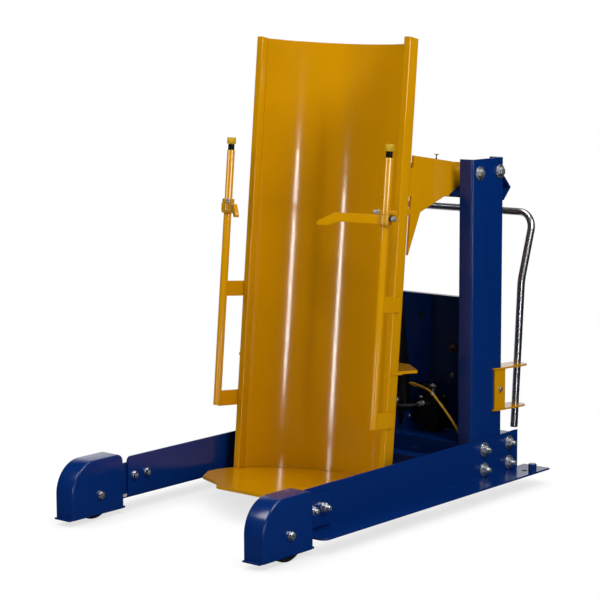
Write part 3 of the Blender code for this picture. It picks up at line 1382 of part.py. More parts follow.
def make_valve_block():
    """The manifold behind the cylinder, with its valve coil, plug and hose outlet."""
    rear = unit_rear()
    length, width, height = BLOCK_SIZE
    low_z = DECK_TOP + GAP
    stand = box((BLOCK_X - length * 0.3, rear - width * 0.9, low_z),
                (BLOCK_X + length * 0.3, rear, DECK_TOP + BLOCK_LIFT + 0.004))
    z = DECK_TOP + BLOCK_LIFT
    block = box((BLOCK_X - length / 2.0, rear - width, z),
                (BLOCK_X + length / 2.0, rear - 0.002, z + height))
    join(block, stand)
    top = z + height
    y = rear - width / 2.0
    join(block, cylinder(COIL_R, (COIL_X, y, top - 0.004), (COIL_X, y, top + COIL_HEIGHT)))
    # The coil's plug faces the machine's middle, with the cable's gland on it.
    length, width, height = PLUG_SIZE
    face = COIL_X - COIL_R - length
    inside = COIL_X - COIL_R * 0.7
    plug_z = top + PLUG_RISE
    plug = box((face, y - width / 2.0, plug_z - height / 2.0),
               (inside, y + width / 2.0, plug_z + height / 2.0))
    join(plug, cylinder(CABLE_GLAND_R, (face - PLUG_GLAND, y, plug_z), (inside, y, plug_z), EDGE_COARSE))
    outlet_y, outlet_z = hose_outlet()
    front = rear - BLOCK_SIZE[1]
    join(block, cylinder(PORT_R, (HOSE_OUTLET_X, front - OUTLET_REACH, outlet_z),
                         (HOSE_OUTLET_X, front + OUTLET_REACH, outlet_z), EDGE_COARSE))
    join(block, plug)
    keep(block, "valve_block", ROOT, "steel")


def port_mouth():
    """Where the cylinder's port ends at rest, and the direction in which it faces."""
    lean, _ = cylinder_lean_and_length(0.0)
    facing = Vector((0.0, -cos(lean), -sin(lean)))
    along = Vector((0.0, -sin(lean), cos(lean)))
    pin = Vector((0.0, CYLINDER_PIN_Y, CYLINDER_PIN_Z))
    return pin + along * PORT_HEIGHT + facing * (PORT_REACH + GAP), facing


def hose_outlet():
    """Depth and height of the hose's end at the valve block."""
    mouth, _ = port_mouth()
    return unit_rear() - BLOCK_SIZE[1] - OUTLET_REACH - GAP, mouth.z


def make_lines():
    """The pressure hose, in one bend from the cylinder to the valve block, and the valve's cable."""
    mouth, facing = port_mouth()
    outlet_y, outlet_z = hose_outlet()
    first = mouth + facing * HOSE_STUB
    bend = HOSE_OUTLET_X / 2.0
    path = [mouth, first]
    for x, y in arc((bend, first.y - HOSE_STUB), bend, pi, 2.0 * pi, 12):
        share = x / HOSE_OUTLET_X
        path.append((x, y, first.z + (outlet_z - first.z) * share))
    path.append((HOSE_OUTLET_X, outlet_y, outlet_z))
    keep(tube(path, HOSE_R, 2), "pressure_hose", ROOT, "rubber")
    keep(tube(smooth_path(cable_route(), CABLE_STEP), CABLE_R, 1), "power_cable", ROOT, "cable")


def cable_route():
    """From the coil's plug round a hairpin, then down to the deck beside the column."""
    x = COIL_X - COIL_R - PLUG_SIZE[0] - PLUG_GLAND - GAP
    y = unit_rear() - BLOCK_SIZE[1] / 2.0
    z = DECK_TOP + BLOCK_LIFT + BLOCK_SIZE[2] + PLUG_RISE
    exit_x, exit_y = CABLE_EXIT
    exit_z = DECK_TOP + CABLE_GLAND_HEIGHT + GAP
    return (
        (x, y, z),
        (x - 0.014, y, z),
        (x - 0.026, y - 0.006, z + 0.005),
        (x - 0.031, y - 0.020, z + 0.012),
        (x - 0.026, y - 0.034, z + 0.017),
        (x - 0.012, y - 0.041, z + 0.019),
        (x + 0.012, y - 0.046, z + 0.018),
        (0.124, 0.522, 0.337),
        (0.152, 0.508, 0.336),
        (0.178, 0.498, 0.330),
        (0.208, 0.491, 0.309),
        (0.246, 0.485, 0.277),
        (0.274, 0.483, 0.249),
        (0.298, 0.482, 0.221),
        (exit_x, exit_y, exit_z + 0.015),
        (exit_x, exit_y, exit_z),
    )


def make_cable_tie():
    inner = CABLE_R + GAP
    outer = inner + 0.0014
    band = turned([(inner, 0.0025), (inner, -0.0025), (outer, -0.0025), (outer, 0.0025)], 16)
    tail = box((CABLE_R + 0.001, -0.0015, -0.0012), (CABLE_R + 0.024, 0.0015, 0.0))
    join(band, tail)
    path = smooth_path(cable_route(), CABLE_STEP)
    k = min(range(len(path)), key=lambda i: abs(path[i].x - CABLE_TIE_X))
    high, low = path[k], path[k + 1]
    turn = Vector((0.0, 0.0, 1.0)).rotation_difference(high - low).to_matrix().to_4x4()
    band.data.transform(Matrix.Translation((low + high) / 2.0) @ turn)
    keep(band, "cable_tie", ROOT, "white")


make_legs()
make_columns()
make_bearings()
make_tie_angle()
make_wheel_brackets()
make_wheel_covers()
make_front_axles()
make_front_wheels()
make_rear_deck()
make_rear_panel()
make_casters()
make_push_handle()
make_handle_brackets()
make_stop_bar()
make_chute()
make_foot_plate()
make_back_rib()
make_tilt_arms()
make_pivot_shaft()
make_cross_beam()
make_cylinder_lugs()
make_cylinder()
make_cylinder_mount()
make_posts()
make_clamps()
make_wing_screw()
make_power_unit()
make_valve_block()
make_lines()
make_cable_tie()
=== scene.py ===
"""Looks for the drum tipper: camera, light, materials and the finer visible pieces.

Metres, +Z up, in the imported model's frame: +Y towards the push handle, the floor at Z = 0.
Machine coordinates have Y = 0 on the chute's axis; carriage coordinates lean back with the chute.
A profile is a list of (radius, height) points and an outline one of (u, v) points, and mm() takes the
points of either in millimetres.
"""

from math import atan2, cos, pi, radians, sin, sqrt

import bmesh
import bpy
from mathutils import Matrix, Vector


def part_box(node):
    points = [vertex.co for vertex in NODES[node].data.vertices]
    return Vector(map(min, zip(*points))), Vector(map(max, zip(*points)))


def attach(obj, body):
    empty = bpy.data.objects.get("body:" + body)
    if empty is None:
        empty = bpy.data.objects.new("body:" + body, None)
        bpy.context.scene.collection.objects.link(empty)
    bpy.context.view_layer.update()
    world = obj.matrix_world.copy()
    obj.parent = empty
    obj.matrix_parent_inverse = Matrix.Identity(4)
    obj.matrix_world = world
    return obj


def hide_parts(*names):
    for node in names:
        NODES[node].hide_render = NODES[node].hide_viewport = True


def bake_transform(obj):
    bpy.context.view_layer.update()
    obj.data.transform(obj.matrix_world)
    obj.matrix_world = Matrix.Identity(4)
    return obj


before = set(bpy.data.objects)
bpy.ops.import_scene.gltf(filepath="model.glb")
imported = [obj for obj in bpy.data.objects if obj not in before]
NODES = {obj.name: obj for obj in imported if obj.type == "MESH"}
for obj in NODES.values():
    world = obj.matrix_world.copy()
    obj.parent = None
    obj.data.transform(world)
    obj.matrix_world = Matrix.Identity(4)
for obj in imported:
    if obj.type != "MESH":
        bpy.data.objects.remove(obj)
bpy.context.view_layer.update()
SIDES = (("right", 1), ("left", -1))
SMOOTH_ANGLE = radians(35)

# The camera at the photograph's viewing angle
CAMERA_AT = (4.117, -4.9833, 1.591)
CAMERA_YAW = radians(40.05)
CAMERA_PITCH = radians(-7.99)
CAMERA_ROLL = radians(-0.26)
CAMERA_LENS = 116.75
AWAY = (-0.64, 0.77)

# Sizes that the finer pieces share with the solids
GAP = 0.0003
SHIFT_Y = 0.088325
TILT = 0.0968
FOOT_PLATE_Z = 0.0773
CHUTE_R = 0.316
CHUTE_SET = 0.020
CHUTE_WALL = 0.003
CHUTE_TOP = 1.492
SHEET_TOP = 1.488
SHEET_SEAM_Z = 1.115
RAIL_REAR = 0.057
RAIL_OUTER_X = 0.328
POST_X = 0.339
POST_Y = -0.062
POST_TABS = ((0.219, 0.272), (0.599, 0.651))
TUBE_R = 0.01335
LEG_INNER_X = 0.3745
LEG_OUTER_X = 0.3805
LEG_BOLT_ZS = (0.0785, 0.1487)
FRONT_BOLT_YS = (-0.3516, -0.4098)
FRONT_BOLT_Z = 0.1185
BEARING_BOLT_YS = (0.500, 0.620)
PIVOT = (0.560, 1.100)
PIN = (0.580, 0.2165)
LEAN = radians(7.66)
CYLINDER_LENGTH = 0.7502
AXLE = (-0.576, 0.0825)
CASTER = (0.212, 0.650)
CASTER_DROP = 0.0635
CASTER_TRAIL = 0.038
DECK_TOP = 0.1745
DECK_GLAND = (0.310, 0.482)
VALVE_X = 0.119
VALVE_REAR = 0.625
VALVE_DEPTH = 0.075
VALVE_FOOT = 0.026
VALVE_HEIGHT = 0.092
VALVE_FRONT = VALVE_REAR - VALVE_DEPTH
OUTLET_X = 0.104
BIG_HEX = 0.0246
STUD_R = 0.0083

# Turns that point a piece's Z somewhere else, and one that lays an outline into the YZ plane
TO_SIDE = Matrix.Rotation(pi / 2, 4, "Y")
TO_LEFT = Matrix.Rotation(-pi / 2, 4, "Y")
TO_FRONT = Matrix.Rotation(pi / 2, 4, "X")
TO_REAR = Matrix.Rotation(-pi / 2, 4, "X")
TO_FLOOR = Matrix.Rotation(pi, 4, "X")
TO_YZ = Matrix(((0, 0, 1, 0), (1, 0, 0, 0), (0, 1, 0, 0), (0, 0, 0, 1)))

# Frames of the moving bodies at rest
MACHINE = Matrix.Translation((0.0, -SHIFT_Y, 0.0))
CARRIAGE = Matrix.Translation((0.0, -SHIFT_Y, FOOT_PLATE_Z)) @ Matrix.Rotation(-TILT, 4, "X")
CYLINDER = MACHINE @ Matrix.Translation((0.0, *PIN)) @ Matrix.Rotation(LEAN, 4, "X")
ROD = CYLINDER @ Matrix.Translation((0.0, 0.0, CYLINDER_LENGTH))

# The cylinder's port, where the hose starts
PORT_UP = 0.065
PORT_OUT = 0.0463
LEAN_FACING = Vector((0.0, -cos(LEAN), -sin(LEAN)))
LEAN_ALONG = Vector((0.0, -sin(LEAN), cos(LEAN)))
MOUTH = Vector((0.0, *PIN)) + LEAN_ALONG * PORT_UP + LEAN_FACING * PORT_OUT


# Stage and light

def make_camera():
    data = bpy.data.cameras.new("camera")
    data.lens = CAMERA_LENS
    data.sensor_width = 36.0
    camera = bpy.data.objects.new("camera", data)
    bpy.context.scene.collection.objects.link(camera)
    turn = Matrix.Rotation(CAMERA_YAW, 4, "Z") @ Matrix.Rotation(pi / 2 + CAMERA_PITCH, 4, "X")
    camera.matrix_world = Matrix.Translation(CAMERA_AT) @ turn @ Matrix.Rotation(CAMERA_ROLL, 4, "Z")
    bpy.context.scene.camera = camera


def area_light(name, azimuth, distance, height, size, power, aim_z=0.7):
    """A softbox at an azimuth, in degrees from +X, that faces a point near the machine's middle."""
    data = bpy.data.lights.new(name, "AREA")
    data.shape = "RECTANGLE"
    data.size, data.size_y = size
    data.energy = power
    lamp = bpy.data.objects.new(name, data)
    bpy.context.scene.collection.objects.link(lamp)
    lamp.location = (distance * cos(radians(azimuth)), distance * sin(radians(azimuth)), height)
    aim = Vector((0.0, 0.1, aim_z)) - lamp.location
    lamp.rotation_euler = aim.to_track_quat("-Z", "Y").to_euler()


def make_light():
    """Two narrow strips make the chute's long highlights; three large boxes light the rest."""
    area_light("right_strip", -28.5, 5.0, 0.775, (0.17, 1.45), 31.0, 0.775)
    area_light("front_strip", -91.5, 5.0, 0.775, (0.25, 1.45), 34.0, 0.775)
    area_light("right_soft", -6.0, 3.6, 3.6, (1.8, 1.8), 150.0)
    area_light("left_soft", -118.0, 3.6, 3.6, (1.8, 1.8), 90.0)
    area_light("top", 90.0, 0.3, 4.4, (2.4, 2.4), 55.0)


def fill(tree, made, inputs):
    """Sets a node's inputs, or links them where the value is another node's output."""
    for socket, value in inputs.items():
        if isinstance(value, bpy.types.NodeSocket):
            tree.links.new(value, made.inputs[socket])
        else:
            made.inputs[socket].default_value = value


def add_node(tree, kind, inputs, operation=None):
    made = tree.nodes.new(kind)
    if operation:
        made.operation = operation
    fill(tree, made, inputs)
    return made


def calculate(tree, operation, *values):
    return add_node(tree, "ShaderNodeMath", dict(enumerate(values)), operation).outputs["Value"]


def along(tree, source, direction):
    """How far the source's vector reaches in a direction on the floor."""
    inputs = {0: source, 1: (*direction, 0.0)}
    return add_node(tree, "ShaderNodeVectorMath", inputs, "DOT_PRODUCT").outputs["Value"]


def span(tree, source, start, end, low, high, smooth=False):
    """Maps the source's values from start to end onto low to high."""
    made = add_node(tree, "ShaderNodeMapRange", {
        "Value": source, "From Min": start, "From Max": end, "To Min": low, "To Max": high})
    if smooth:
        made.interpolation_type = "SMOOTHSTEP"
    return made.outputs["Result"]


def white_switch(tree):
    """Two switches: one on for camera rays, one also on for glossy and transmission rays."""
    path = tree.nodes.new("ShaderNodeLightPath")
    mirror = calculate(tree, "MAXIMUM", path.outputs["Is Camera Ray"], path.outputs["Is Glossy Ray"])
    white = calculate(tree, "MAXIMUM", mirror, path.outputs["Is Transmission Ray"])
    return path.outputs["Is Camera Ray"], white


def make_world():
    """White for the camera; metal sees white behind the object and a darker room in front."""
    world = bpy.data.worlds.new("world")
    bpy.context.scene.world = world
    world.use_nodes = True
    tree = world.node_tree
    tree.nodes.clear()
    by_camera, white = white_switch(tree)
    coords = tree.nodes.new("ShaderNodeTexCoord")
    room = span(tree, along(tree, coords.outputs["Generated"], AWAY), 0.72, 0.92, 0.006, 1.0)
    seen = add_node(tree, "ShaderNodeBackground", {"Color": calculate(tree, "MAXIMUM", room, by_camera)})
    lit = add_node(tree, "ShaderNodeBackground", {"Color": (0.86, 0.90, 1.0, 1.0), "Strength": 0.07})
    mix = add_node(tree, "ShaderNodeMixShader", {
        "Fac": white, 1: lit.outputs["Background"], 2: seen.outputs["Background"]})
    add_node(tree, "ShaderNodeOutputWorld", {"Surface": mix.outputs["Shader"]})


def make_floor():
    """A white floor that keeps a faint contact shadow; gloss sees it white behind the object only."""
    bpy.ops.mesh.primitive_plane_add(size=30.0, location=(0.0, 0.0, -0.0002))
    floor = bpy.context.active_object
    floor.name = "floor"
    material = bpy.data.materials.new("floor")
    material.use_nodes = True
    tree = material.node_tree
    shader = tree.nodes["Principled BSDF"]
    shader.inputs["Base Color"].default_value = (0.55, 0.55, 0.56, 1.0)
    shader.inputs["Roughness"].default_value = 0.9
    shader.inputs["Specular IOR Level"].default_value = 0.0
    occlusion = add_node(tree, "ShaderNodeAmbientOcclusion", {"Distance": 0.16})
    contact = span(tree, occlusion.outputs["AO"], 0.15, 0.85, 0.70, 1.0)
    place = tree.nodes.new("ShaderNodeTexCoord").outputs["Object"]
    aside = calculate(tree, "ABSOLUTE", along(tree, place, (AWAY[1], -AWAY[0])))
    behind = span(tree, along(tree, place, AWAY), 1.6, 0.8, 1.0, 0.0, True)
    patch = calculate(tree, "MULTIPLY", behind, span(tree, aside, 1.3, 2.2, 1.0, 0.0, True))
    by_camera, white = white_switch(tree)
    seen = calculate(tree, "MAXIMUM", patch, by_camera)
    glow = add_node(tree, "ShaderNodeEmission", {"Color": calculate(tree, "MULTIPLY", contact, seen)})
    mix = add_node(tree, "ShaderNodeMixShader", {
        "Fac": white, 1: shader.outputs["BSDF"], 2: glow.outputs["Emission"]})
    tree.links.new(mix.outputs["Shader"], tree.nodes["Material Output"].inputs["Surface"])
    floor.data.materials.append(material)


# Materials

class Finish:
    """One node material, built up step by step."""

    def __init__(self, name, colour, roughness, metallic=0.0, specular=0.5):
        self.material = bpy.data.materials.new(name)
        self.material.use_nodes = True
        self.tree = self.material.node_tree
        self.shader = self.tree.nodes["Principled BSDF"]
        self.colour = colour
        self.shader.inputs["Base Color"].default_value = (*colour, 1.0)
        self.shader.inputs["Roughness"].default_value = roughness
        self.shader.inputs["Metallic"].default_value = metallic
        self.shader.inputs["Specular IOR Level"].default_value = specular
        self.place = self.tree.nodes.new("ShaderNodeTexCoord").outputs["Object"]
        self.normal = None

    def drive(self, socket, source):
        self.tree.links.new(source, self.shader.inputs[socket])

    def noise(self, scale, detail=3.0, stretch=None):
        """Noise over the surface, in features per metre."""
        place = self.place
        if stretch:
            mapping = add_node(self.tree, "ShaderNodeMapping", {"Vector": place, "Scale": stretch})
            place = mapping.outputs["Vector"]
        inputs = {"Vector": place, "Scale": scale, "Detail": detail}
        return add_node(self.tree, "ShaderNodeTexNoise", inputs).outputs["Fac"]

    def cells(self, scale):
        """Crystal-like cells, each of its own grey."""
        grains = add_node(self.tree, "ShaderNodeTexVoronoi", {"Vector": self.place, "Scale": scale})
        split = add_node(self.tree, "ShaderNodeSeparateColor", {"Color": grains.outputs["Color"]})
        return split.outputs["Red"]

    def between(self, source, low, high):
        """Spreads the middle of a noise, where nearly all of its values lie, over low to high."""
        return span(self.tree, source, 0.35, 0.65, low, high)

    def vary_colour(self, source, other):
        """The base colour turns into the other one where the source is high."""
        mix = self.tree.nodes.new("ShaderNodeMix")
        mix.data_type = "RGBA"
        share = self.between(source, 0.0, 1.0)
        fill(self.tree, mix, {"A": (*self.colour, 1.0), "B": (*other, 1.0), "Factor": share})
        self.drive("Base Color", mix.outputs["Result"])

    def vary_roughness(self, source, low, high):
        self.drive("Roughness", self.between(source, low, high))

    def soft_edges(self, radius):
        """Sharp corners catch the light as small rounds do."""
        bevel = add_node(self.tree, "ShaderNodeBevel", {"Radius": radius})
        bevel.samples = 4
        self.normal = bevel.outputs["Normal"]
        self.drive("Normal", self.normal)

    def bump(self, source, strength, depth):
        inputs = {"Height": source, "Strength": strength, "Distance": depth}
        if self.normal is not None:
            inputs["Normal"] = self.normal
        self.normal = add_node(self.tree, "ShaderNodeBump", inputs).outputs["Normal"]
        self.drive("Normal", self.normal)


def darker(colour, share):
    return tuple(c * share for c in colour)


def powder_coat(name, colour, roughness, specular):
    """Glossy sprayed enamel: fine orange peel, faint clouding and softened edges."""
    finish = Finish(name, colour, roughness, 0.0, specular)
    finish.vary_colour(finish.noise(7.0, 4.0), darker(colour, 0.965))
    finish.vary_roughness(finish.noise(24.0, 5.0), roughness * 0.88, roughness * 1.15)
    finish.soft_edges(0.0030)
    finish.bump(finish.noise(210.0, 2.0), 0.10, 0.00025)
    return finish.material


def plated(name, colour, tint, roughness):
    """Metal plate: small crystals, a faint tint and dull patches."""
    finish = Finish(name, colour, roughness, 1.0)
    finish.vary_colour(finish.noise(160.0, 4.0), tint)
    finish.vary_roughness(finish.cells(520.0), roughness * 0.65, roughness * 1.5)
    finish.soft_edges(0.0005)
    finish.bump(finish.noise(900.0, 2.0), 0.12, 0.0001)
    return finish.material


def polished(name):
    """Chrome tube with faint lengthways polishing marks."""
    finish = Finish(name, (0.66, 0.67, 0.70), 0.27, 1.0)
    marks = finish.noise(60.0, 6.0, (12.0, 12.0, 0.8))
    finish.vary_roughness(marks, 0.24, 0.31)
    finish.vary_colour(finish.noise(22.0), (0.58, 0.59, 0.63))
    finish.bump(marks, 0.01, 0.0001)
    return finish.material


def brushed(name, colour, roughness):
    finish = Finish(name, colour, roughness, 1.0)
    lines = finish.noise(90.0, 5.0, (1.0, 1.0, 14.0))
    finish.vary_colour(lines, darker(colour, 0.8))
    finish.vary_roughness(lines, roughness * 0.8, roughness * 1.3)
    finish.soft_edges(0.0008)
    finish.bump(lines, 0.10, 0.0001)
    return finish.material


def sand_cast(name, colour):
    finish = Finish(name, colour, 0.6, 0.1)
    grain = finish.noise(420.0, 5.0)
    finish.vary_colour(finish.noise(30.0, 4.0), darker(colour, 0.7))
    finish.vary_roughness(grain, 0.45, 0.75)
    finish.soft_edges(0.0016)
    finish.bump(grain, 0.35, 0.0005)
    return finish.material


def moulded(name, colour, roughness, grain_depth=0.0002):
    """Moulded rubber or plastic with a fine grain."""
    finish = Finish(name, colour, roughness, 0.0, 0.35)
    finish.vary_colour(finish.noise(40.0, 4.0), darker(colour, 0.72))
    finish.vary_roughness(finish.noise(120.0, 3.0), roughness * 0.85, min(1.0, roughness * 1.2))
    finish.soft_edges(0.0010)
    finish.bump(finish.noise(800.0, 3.0), 0.25, grain_depth)
    return finish.material


PAINT = {
    "blue_paint": powder_coat("blue_paint", (0.0008, 0.0215, 0.138), 0.20, 0.50),
    "yellow_paint": powder_coat("yellow_paint", (0.550, 0.252, 0.0006), 0.12, 0.50),
    "cast_iron": sand_cast("cast_iron", (0.035, 0.037, 0.042)),
    "zinc": plated("zinc", (0.78, 0.80, 0.80), (0.60, 0.63, 0.63), 0.40),
    "steel": brushed("steel", (0.42, 0.42, 0.43), 0.35),
    "rubber": moulded("rubber", (0.010, 0.010, 0.011), 0.62),
    "chrome": polished("chrome"),
    "black_enamel": powder_coat("black_enamel", (0.006, 0.006, 0.007), 0.30, 0.35),
    "tank": moulded("tank", (0.010, 0.010, 0.011), 0.45),
    "yellow_jacket": moulded("yellow_jacket", (0.62, 0.34, 0.020), 0.42, 0.0001),
    "white_plastic": moulded("white_plastic", (0.62, 0.62, 0.61), 0.45, 0.0001),
    "brass": plated("brass", (0.30, 0.21, 0.08), (0.20, 0.13, 0.05), 0.40),
    "cap_plastic": moulded("cap_plastic", (0.56, 0.34, 0.003), 0.40, 0.0001),
    "bare_thread": brushed("bare_thread", (0.030, 0.026, 0.024), 0.42),
}


# Points and places

def mm(*points):
    return [(u / 1000, v / 1000) for u, v in points]


def sweep(start, end, steps):
    """Angles from start to end, both included."""
    return [start + (end - start) * i / steps for i in range(steps + 1)]


def around(count):
    """Angles all round a circle, the last one short of the first."""
    return sweep(0.0, 2.0 * pi, count)[:-1]


def arc(centre, radius, start, end, steps):
    return [(centre[0] + radius * cos(a), centre[1] + radius * sin(a)) for a in sweep(start, end, steps)]


def spot(x, y, z):
    """An upright frame at a point of the machine."""
    return MACHINE @ Matrix.Translation((x, y, z))


def facing(x, y, z, side):
    """A frame whose Z points out of the machine's side at a point."""
    return spot(x, y, z) @ Matrix.Rotation(pi / 2 * side, 4, "Y")


def pointing(place, direction):
    """A frame at a place whose Z runs along a direction."""
    turn = Vector((0, 0, 1)).rotation_difference(direction.normalized())
    return Matrix.Translation(place) @ turn.to_matrix().to_4x4()


def on_carriage(x, y, z):
    return CARRIAGE @ Vector((x, y, z))


# Shapes

def dress(piece, finish, smooth=SMOOTH_ANGLE):
    piece.data.shade_smooth()
    piece.data.set_sharp_from_angle(angle=smooth)
    piece.data.materials.clear()
    piece.data.materials.append(PAINT[finish])


def settle(name, shape, finish, body, place=None, smooth=SMOOTH_ANGLE):
    """A piece from a bmesh, placed and painted; it rides on its body, if it has just one."""
    bmesh.ops.remove_doubles(shape, verts=shape.verts, dist=0.0000005)
    bmesh.ops.recalc_face_normals(shape, faces=shape.faces)
    if place is not None:
        bmesh.ops.transform(shape, matrix=place, verts=shape.verts)
    mesh = bpy.data.meshes.new(name)
    shape.to_mesh(mesh)
    shape.free()
    piece = bpy.data.objects.new(name, mesh)
    bpy.context.scene.collection.objects.link(piece)
    dress(piece, finish, smooth)
    if body is not None:
        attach(piece, body)
    return piece


def ring_of(shape, centre, across, up, radius, sides):
    return [shape.verts.new(centre + (across * cos(a) + up * sin(a)) * radius) for a in around(sides)]


def join_rings(shape, lower, upper):
    count = len(lower)
    for i in range(count):
        j = (i + 1) % count
        shape.faces.new((lower[i], lower[j], upper[j], upper[i]))


def lathe(shape, profile, sides, place=None, closed=False):
    """A profile turned about Z. Radius 0 makes a tip; a closed profile makes a ring."""
    rings = []
    for radius, height in profile:
        if radius <= 0.0:
            rings.append([shape.verts.new((0.0, 0.0, height))])
        else:
            centre = Vector((0.0, 0.0, height))
            rings.append(ring_of(shape, centre, Vector((1, 0, 0)), Vector((0, 1, 0)), radius, sides))
    pairs = list(zip(rings, rings[1:]))
    if closed:
        pairs.append((rings[-1], rings[0]))
    for lower, upper in pairs:
        if len(lower) == 1 and len(upper) == 1:
            continue
        if len(lower) == 1 or len(upper) == 1:
            tip, ring = (lower[0], upper) if len(lower) == 1 else (upper[0], lower)
            for i in range(sides):
                shape.faces.new((tip, ring[i], ring[(i + 1) % sides]))
        else:
            join_rings(shape, lower, upper)
    if place is not None:
        bmesh.ops.transform(shape, matrix=place, verts=[vert for ring in rings for vert in ring])


def turned(profile, sides, place=None, closed=False):
    """A shape that is one turned profile."""
    shape = bmesh.new()
    lathe(shape, profile, sides, place, closed)
    return shape


def along_path(shape, path, radii, sides, flatten=1.0):
    """A tube swept along a path; radii is one number or one for each point."""
    if not hasattr(radii, "__len__"):
        radii = [radii] * len(path)
    up = None
    rings = []
    for i, here in enumerate(path):
        forward = (path[min(i + 1, len(path) - 1)] - path[max(i - 1, 0)]).normalized()
        if up is None:
            up = forward.orthogonal().normalized()
        up = (up - forward * up.dot(forward)).normalized()
        rings.append(ring_of(shape, here, forward.cross(up), up * flatten, radii[i], sides))
    for lower, upper in zip(rings, rings[1:]):
        join_rings(shape, lower, upper)
    shape.faces.new(rings[0][::-1])
    shape.faces.new(rings[-1])


def prism(shape, outline, low, high, place=None, chamfer=0.0):
    """An outline extruded along Z, its ends chamfered by scaling about the outline's middle."""
    middle = sum((Vector(p) for p in outline), Vector((0.0, 0.0))) / len(outline)
    levels = [(1.0, low), (1.0, high)]
    if chamfer:
        reach = max((Vector(p) - middle).length for p in outline)
        share = 1.0 - chamfer / reach
        levels = [(share, low), (1.0, low + chamfer), (1.0, high - chamfer), (share, high)]
    rings = []
    for share, height in levels:
        ring = [middle + (Vector(p) - middle) * share for p in outline]
        rings.append([shape.verts.new((u, v, height)) for u, v in ring])
    for lower, upper in zip(rings, rings[1:]):
        join_rings(shape, lower, upper)
    shape.faces.new(rings[0][::-1])
    shape.faces.new(rings[-1])
    if place is not None:
        bmesh.ops.transform(shape, matrix=place, verts=[vert for ring in rings for vert in ring])


def block(shape, low, high, chamfer=0.0):
    outline = [(low[0], low[1]), (high[0], low[1]), (high[0], high[1]), (low[0], high[1])]
    prism(shape, outline, low[2], high[2], None, chamfer)


def hexagon(flats):
    radius = flats / 2.0 / cos(pi / 6)
    return [(radius * cos(pi / 3 * i), radius * sin(pi / 3 * i)) for i in range(6)]


def hex_block(shape, place, flats, low, high):
    """A bolt head or nut: a hexagon whose corners are cut back on both faces."""
    prism(shape, hexagon(flats), low, high, place, 0.0011)
    disc = [(0.0, high - 0.0001), (flats * 0.47, high - 0.0001), (flats * 0.45, high + 0.0002),
            (0.0, high + 0.0002)]
    lathe(shape, disc, 24, place)


def washer(shape, place, radius, low, high):
    edge = 0.0004
    outline = [(0.0, low), (radius - edge, low), (radius, low + edge), (radius, high - edge),
               (radius - edge, high), (0.0, high)]
    lathe(shape, outline, 48, place)


def thread(shape, place, radius, low, high, pitch=0.0020, sides=20):
    """A stud's thread as close rings with a rounded tip."""
    profile = [(0.0, low), (radius, low)]
    height = low
    while height + pitch < high - 0.001:
        profile += [(radius, height + pitch * 0.35), (radius * 0.93, height + pitch * 0.7),
                    (radius, height + pitch)]
        height += pitch
    profile += [(radius * 0.98, high - 0.001), (radius * 0.84, high), (0.0, high)]
    lathe(shape, profile, sides, place)


def stud_end(shape, place, washer_r):
    """A washer, a nut and the stud's long end, as the legs have them."""
    washer(shape, place, washer_r, 0.0002, 0.0037)
    hex_block(shape, place, BIG_HEX, 0.0037, 0.0167)
    thread(shape, place, STUD_R, 0.0160, 0.0289)


def weld(name, path, body, radius=0.0028, finish="yellow_paint"):
    """A painted weld bead: a half-sunk cord with the ripples of the weld pool."""
    points = []
    for start, end in zip(path, path[1:]):
        count = max(2, int((end - start).length / 0.0022))
        points += [start.lerp(end, i / count) for i in range(count)]
    points.append(path[-1])
    radii = []
    for i in range(len(points)):
        ripple = 1.0 + 0.13 * sin(i * 1.9) + 0.06 * sin(i * 0.7 + 1.0)
        radii.append(radius * ripple * min(1.0, 0.55 + 0.15 * min(i, len(points) - 1 - i)))
    shape = bmesh.new()
    along_path(shape, points, radii, 8)
    settle(name, shape, finish, body)


def add_to(shape, part, place):
    """Moves one bmesh's geometry, once placed, into another."""
    bmesh.ops.transform(part, matrix=place, verts=part.verts)
    mesh = bpy.data.meshes.new("part")
    part.to_mesh(mesh)
    part.free()
    shape.from_mesh(mesh)
    bpy.data.meshes.remove(mesh)


def apply_modifiers(obj):
    bpy.context.view_layer.update()
    graph = bpy.context.evaluated_depsgraph_get()
    mesh = bpy.data.meshes.new_from_object(obj.evaluated_get(graph))
    obj.modifiers.clear()
    obj.data = mesh


def carved(outline, width, middle, hollow, hollow_width, edge):
    """A softened side-view outline, hollowed by a second one. Both lie in the YZ plane."""
    solids = []
    for points, depth in ((outline, width), (hollow, hollow_width)):
        shape = bmesh.new()
        prism(shape, points, -depth / 2.0, depth / 2.0)
        bmesh.ops.transform(shape, matrix=Matrix.Translation((middle, 0.0, 0.0)) @ TO_YZ, verts=shape.verts)
        bmesh.ops.recalc_face_normals(shape, faces=shape.faces)
        mesh = bpy.data.meshes.new("solid")
        shape.to_mesh(mesh)
        shape.free()
        obj = bpy.data.objects.new("solid", mesh)
        bpy.context.scene.collection.objects.link(obj)
        solids.append(obj)
    body, tool = solids
    bevel = body.modifiers.new("edge", "BEVEL")
    bevel.width = edge
    bevel.segments = 5
    bevel.limit_method = "ANGLE"
    bevel.angle_limit = radians(60)
    apply_modifiers(body)
    cut = body.modifiers.new("cut", "BOOLEAN")
    cut.operation = "DIFFERENCE"
    cut.solver = "EXACT"
    cut.object = tool
    apply_modifiers(body)
    shape = bmesh.new()
    shape.from_mesh(body.data)
    for obj in solids:
        bpy.data.objects.remove(obj, do_unlink=True)
    return shape


# Frame pieces

COVER_FRONT, COVER_REAR = -0.700, -0.470
COVER_LOW, COVER_TOP = 0.018, 0.2025
COVER_CORNER = 0.024
COVER_ARC = (-0.600, 0.096)


def cover_outline(wall, low):
    """The cover's foot and its round front, up to the flat top, drawn in by a wall."""
    y, z = COVER_ARC
    return [(COVER_FRONT + wall, low)] + [
        (y + (y - COVER_FRONT - wall) * cos(a), z + (COVER_TOP - wall - z) * sin(a))
        for a in sweep(pi, pi / 2, 24)]


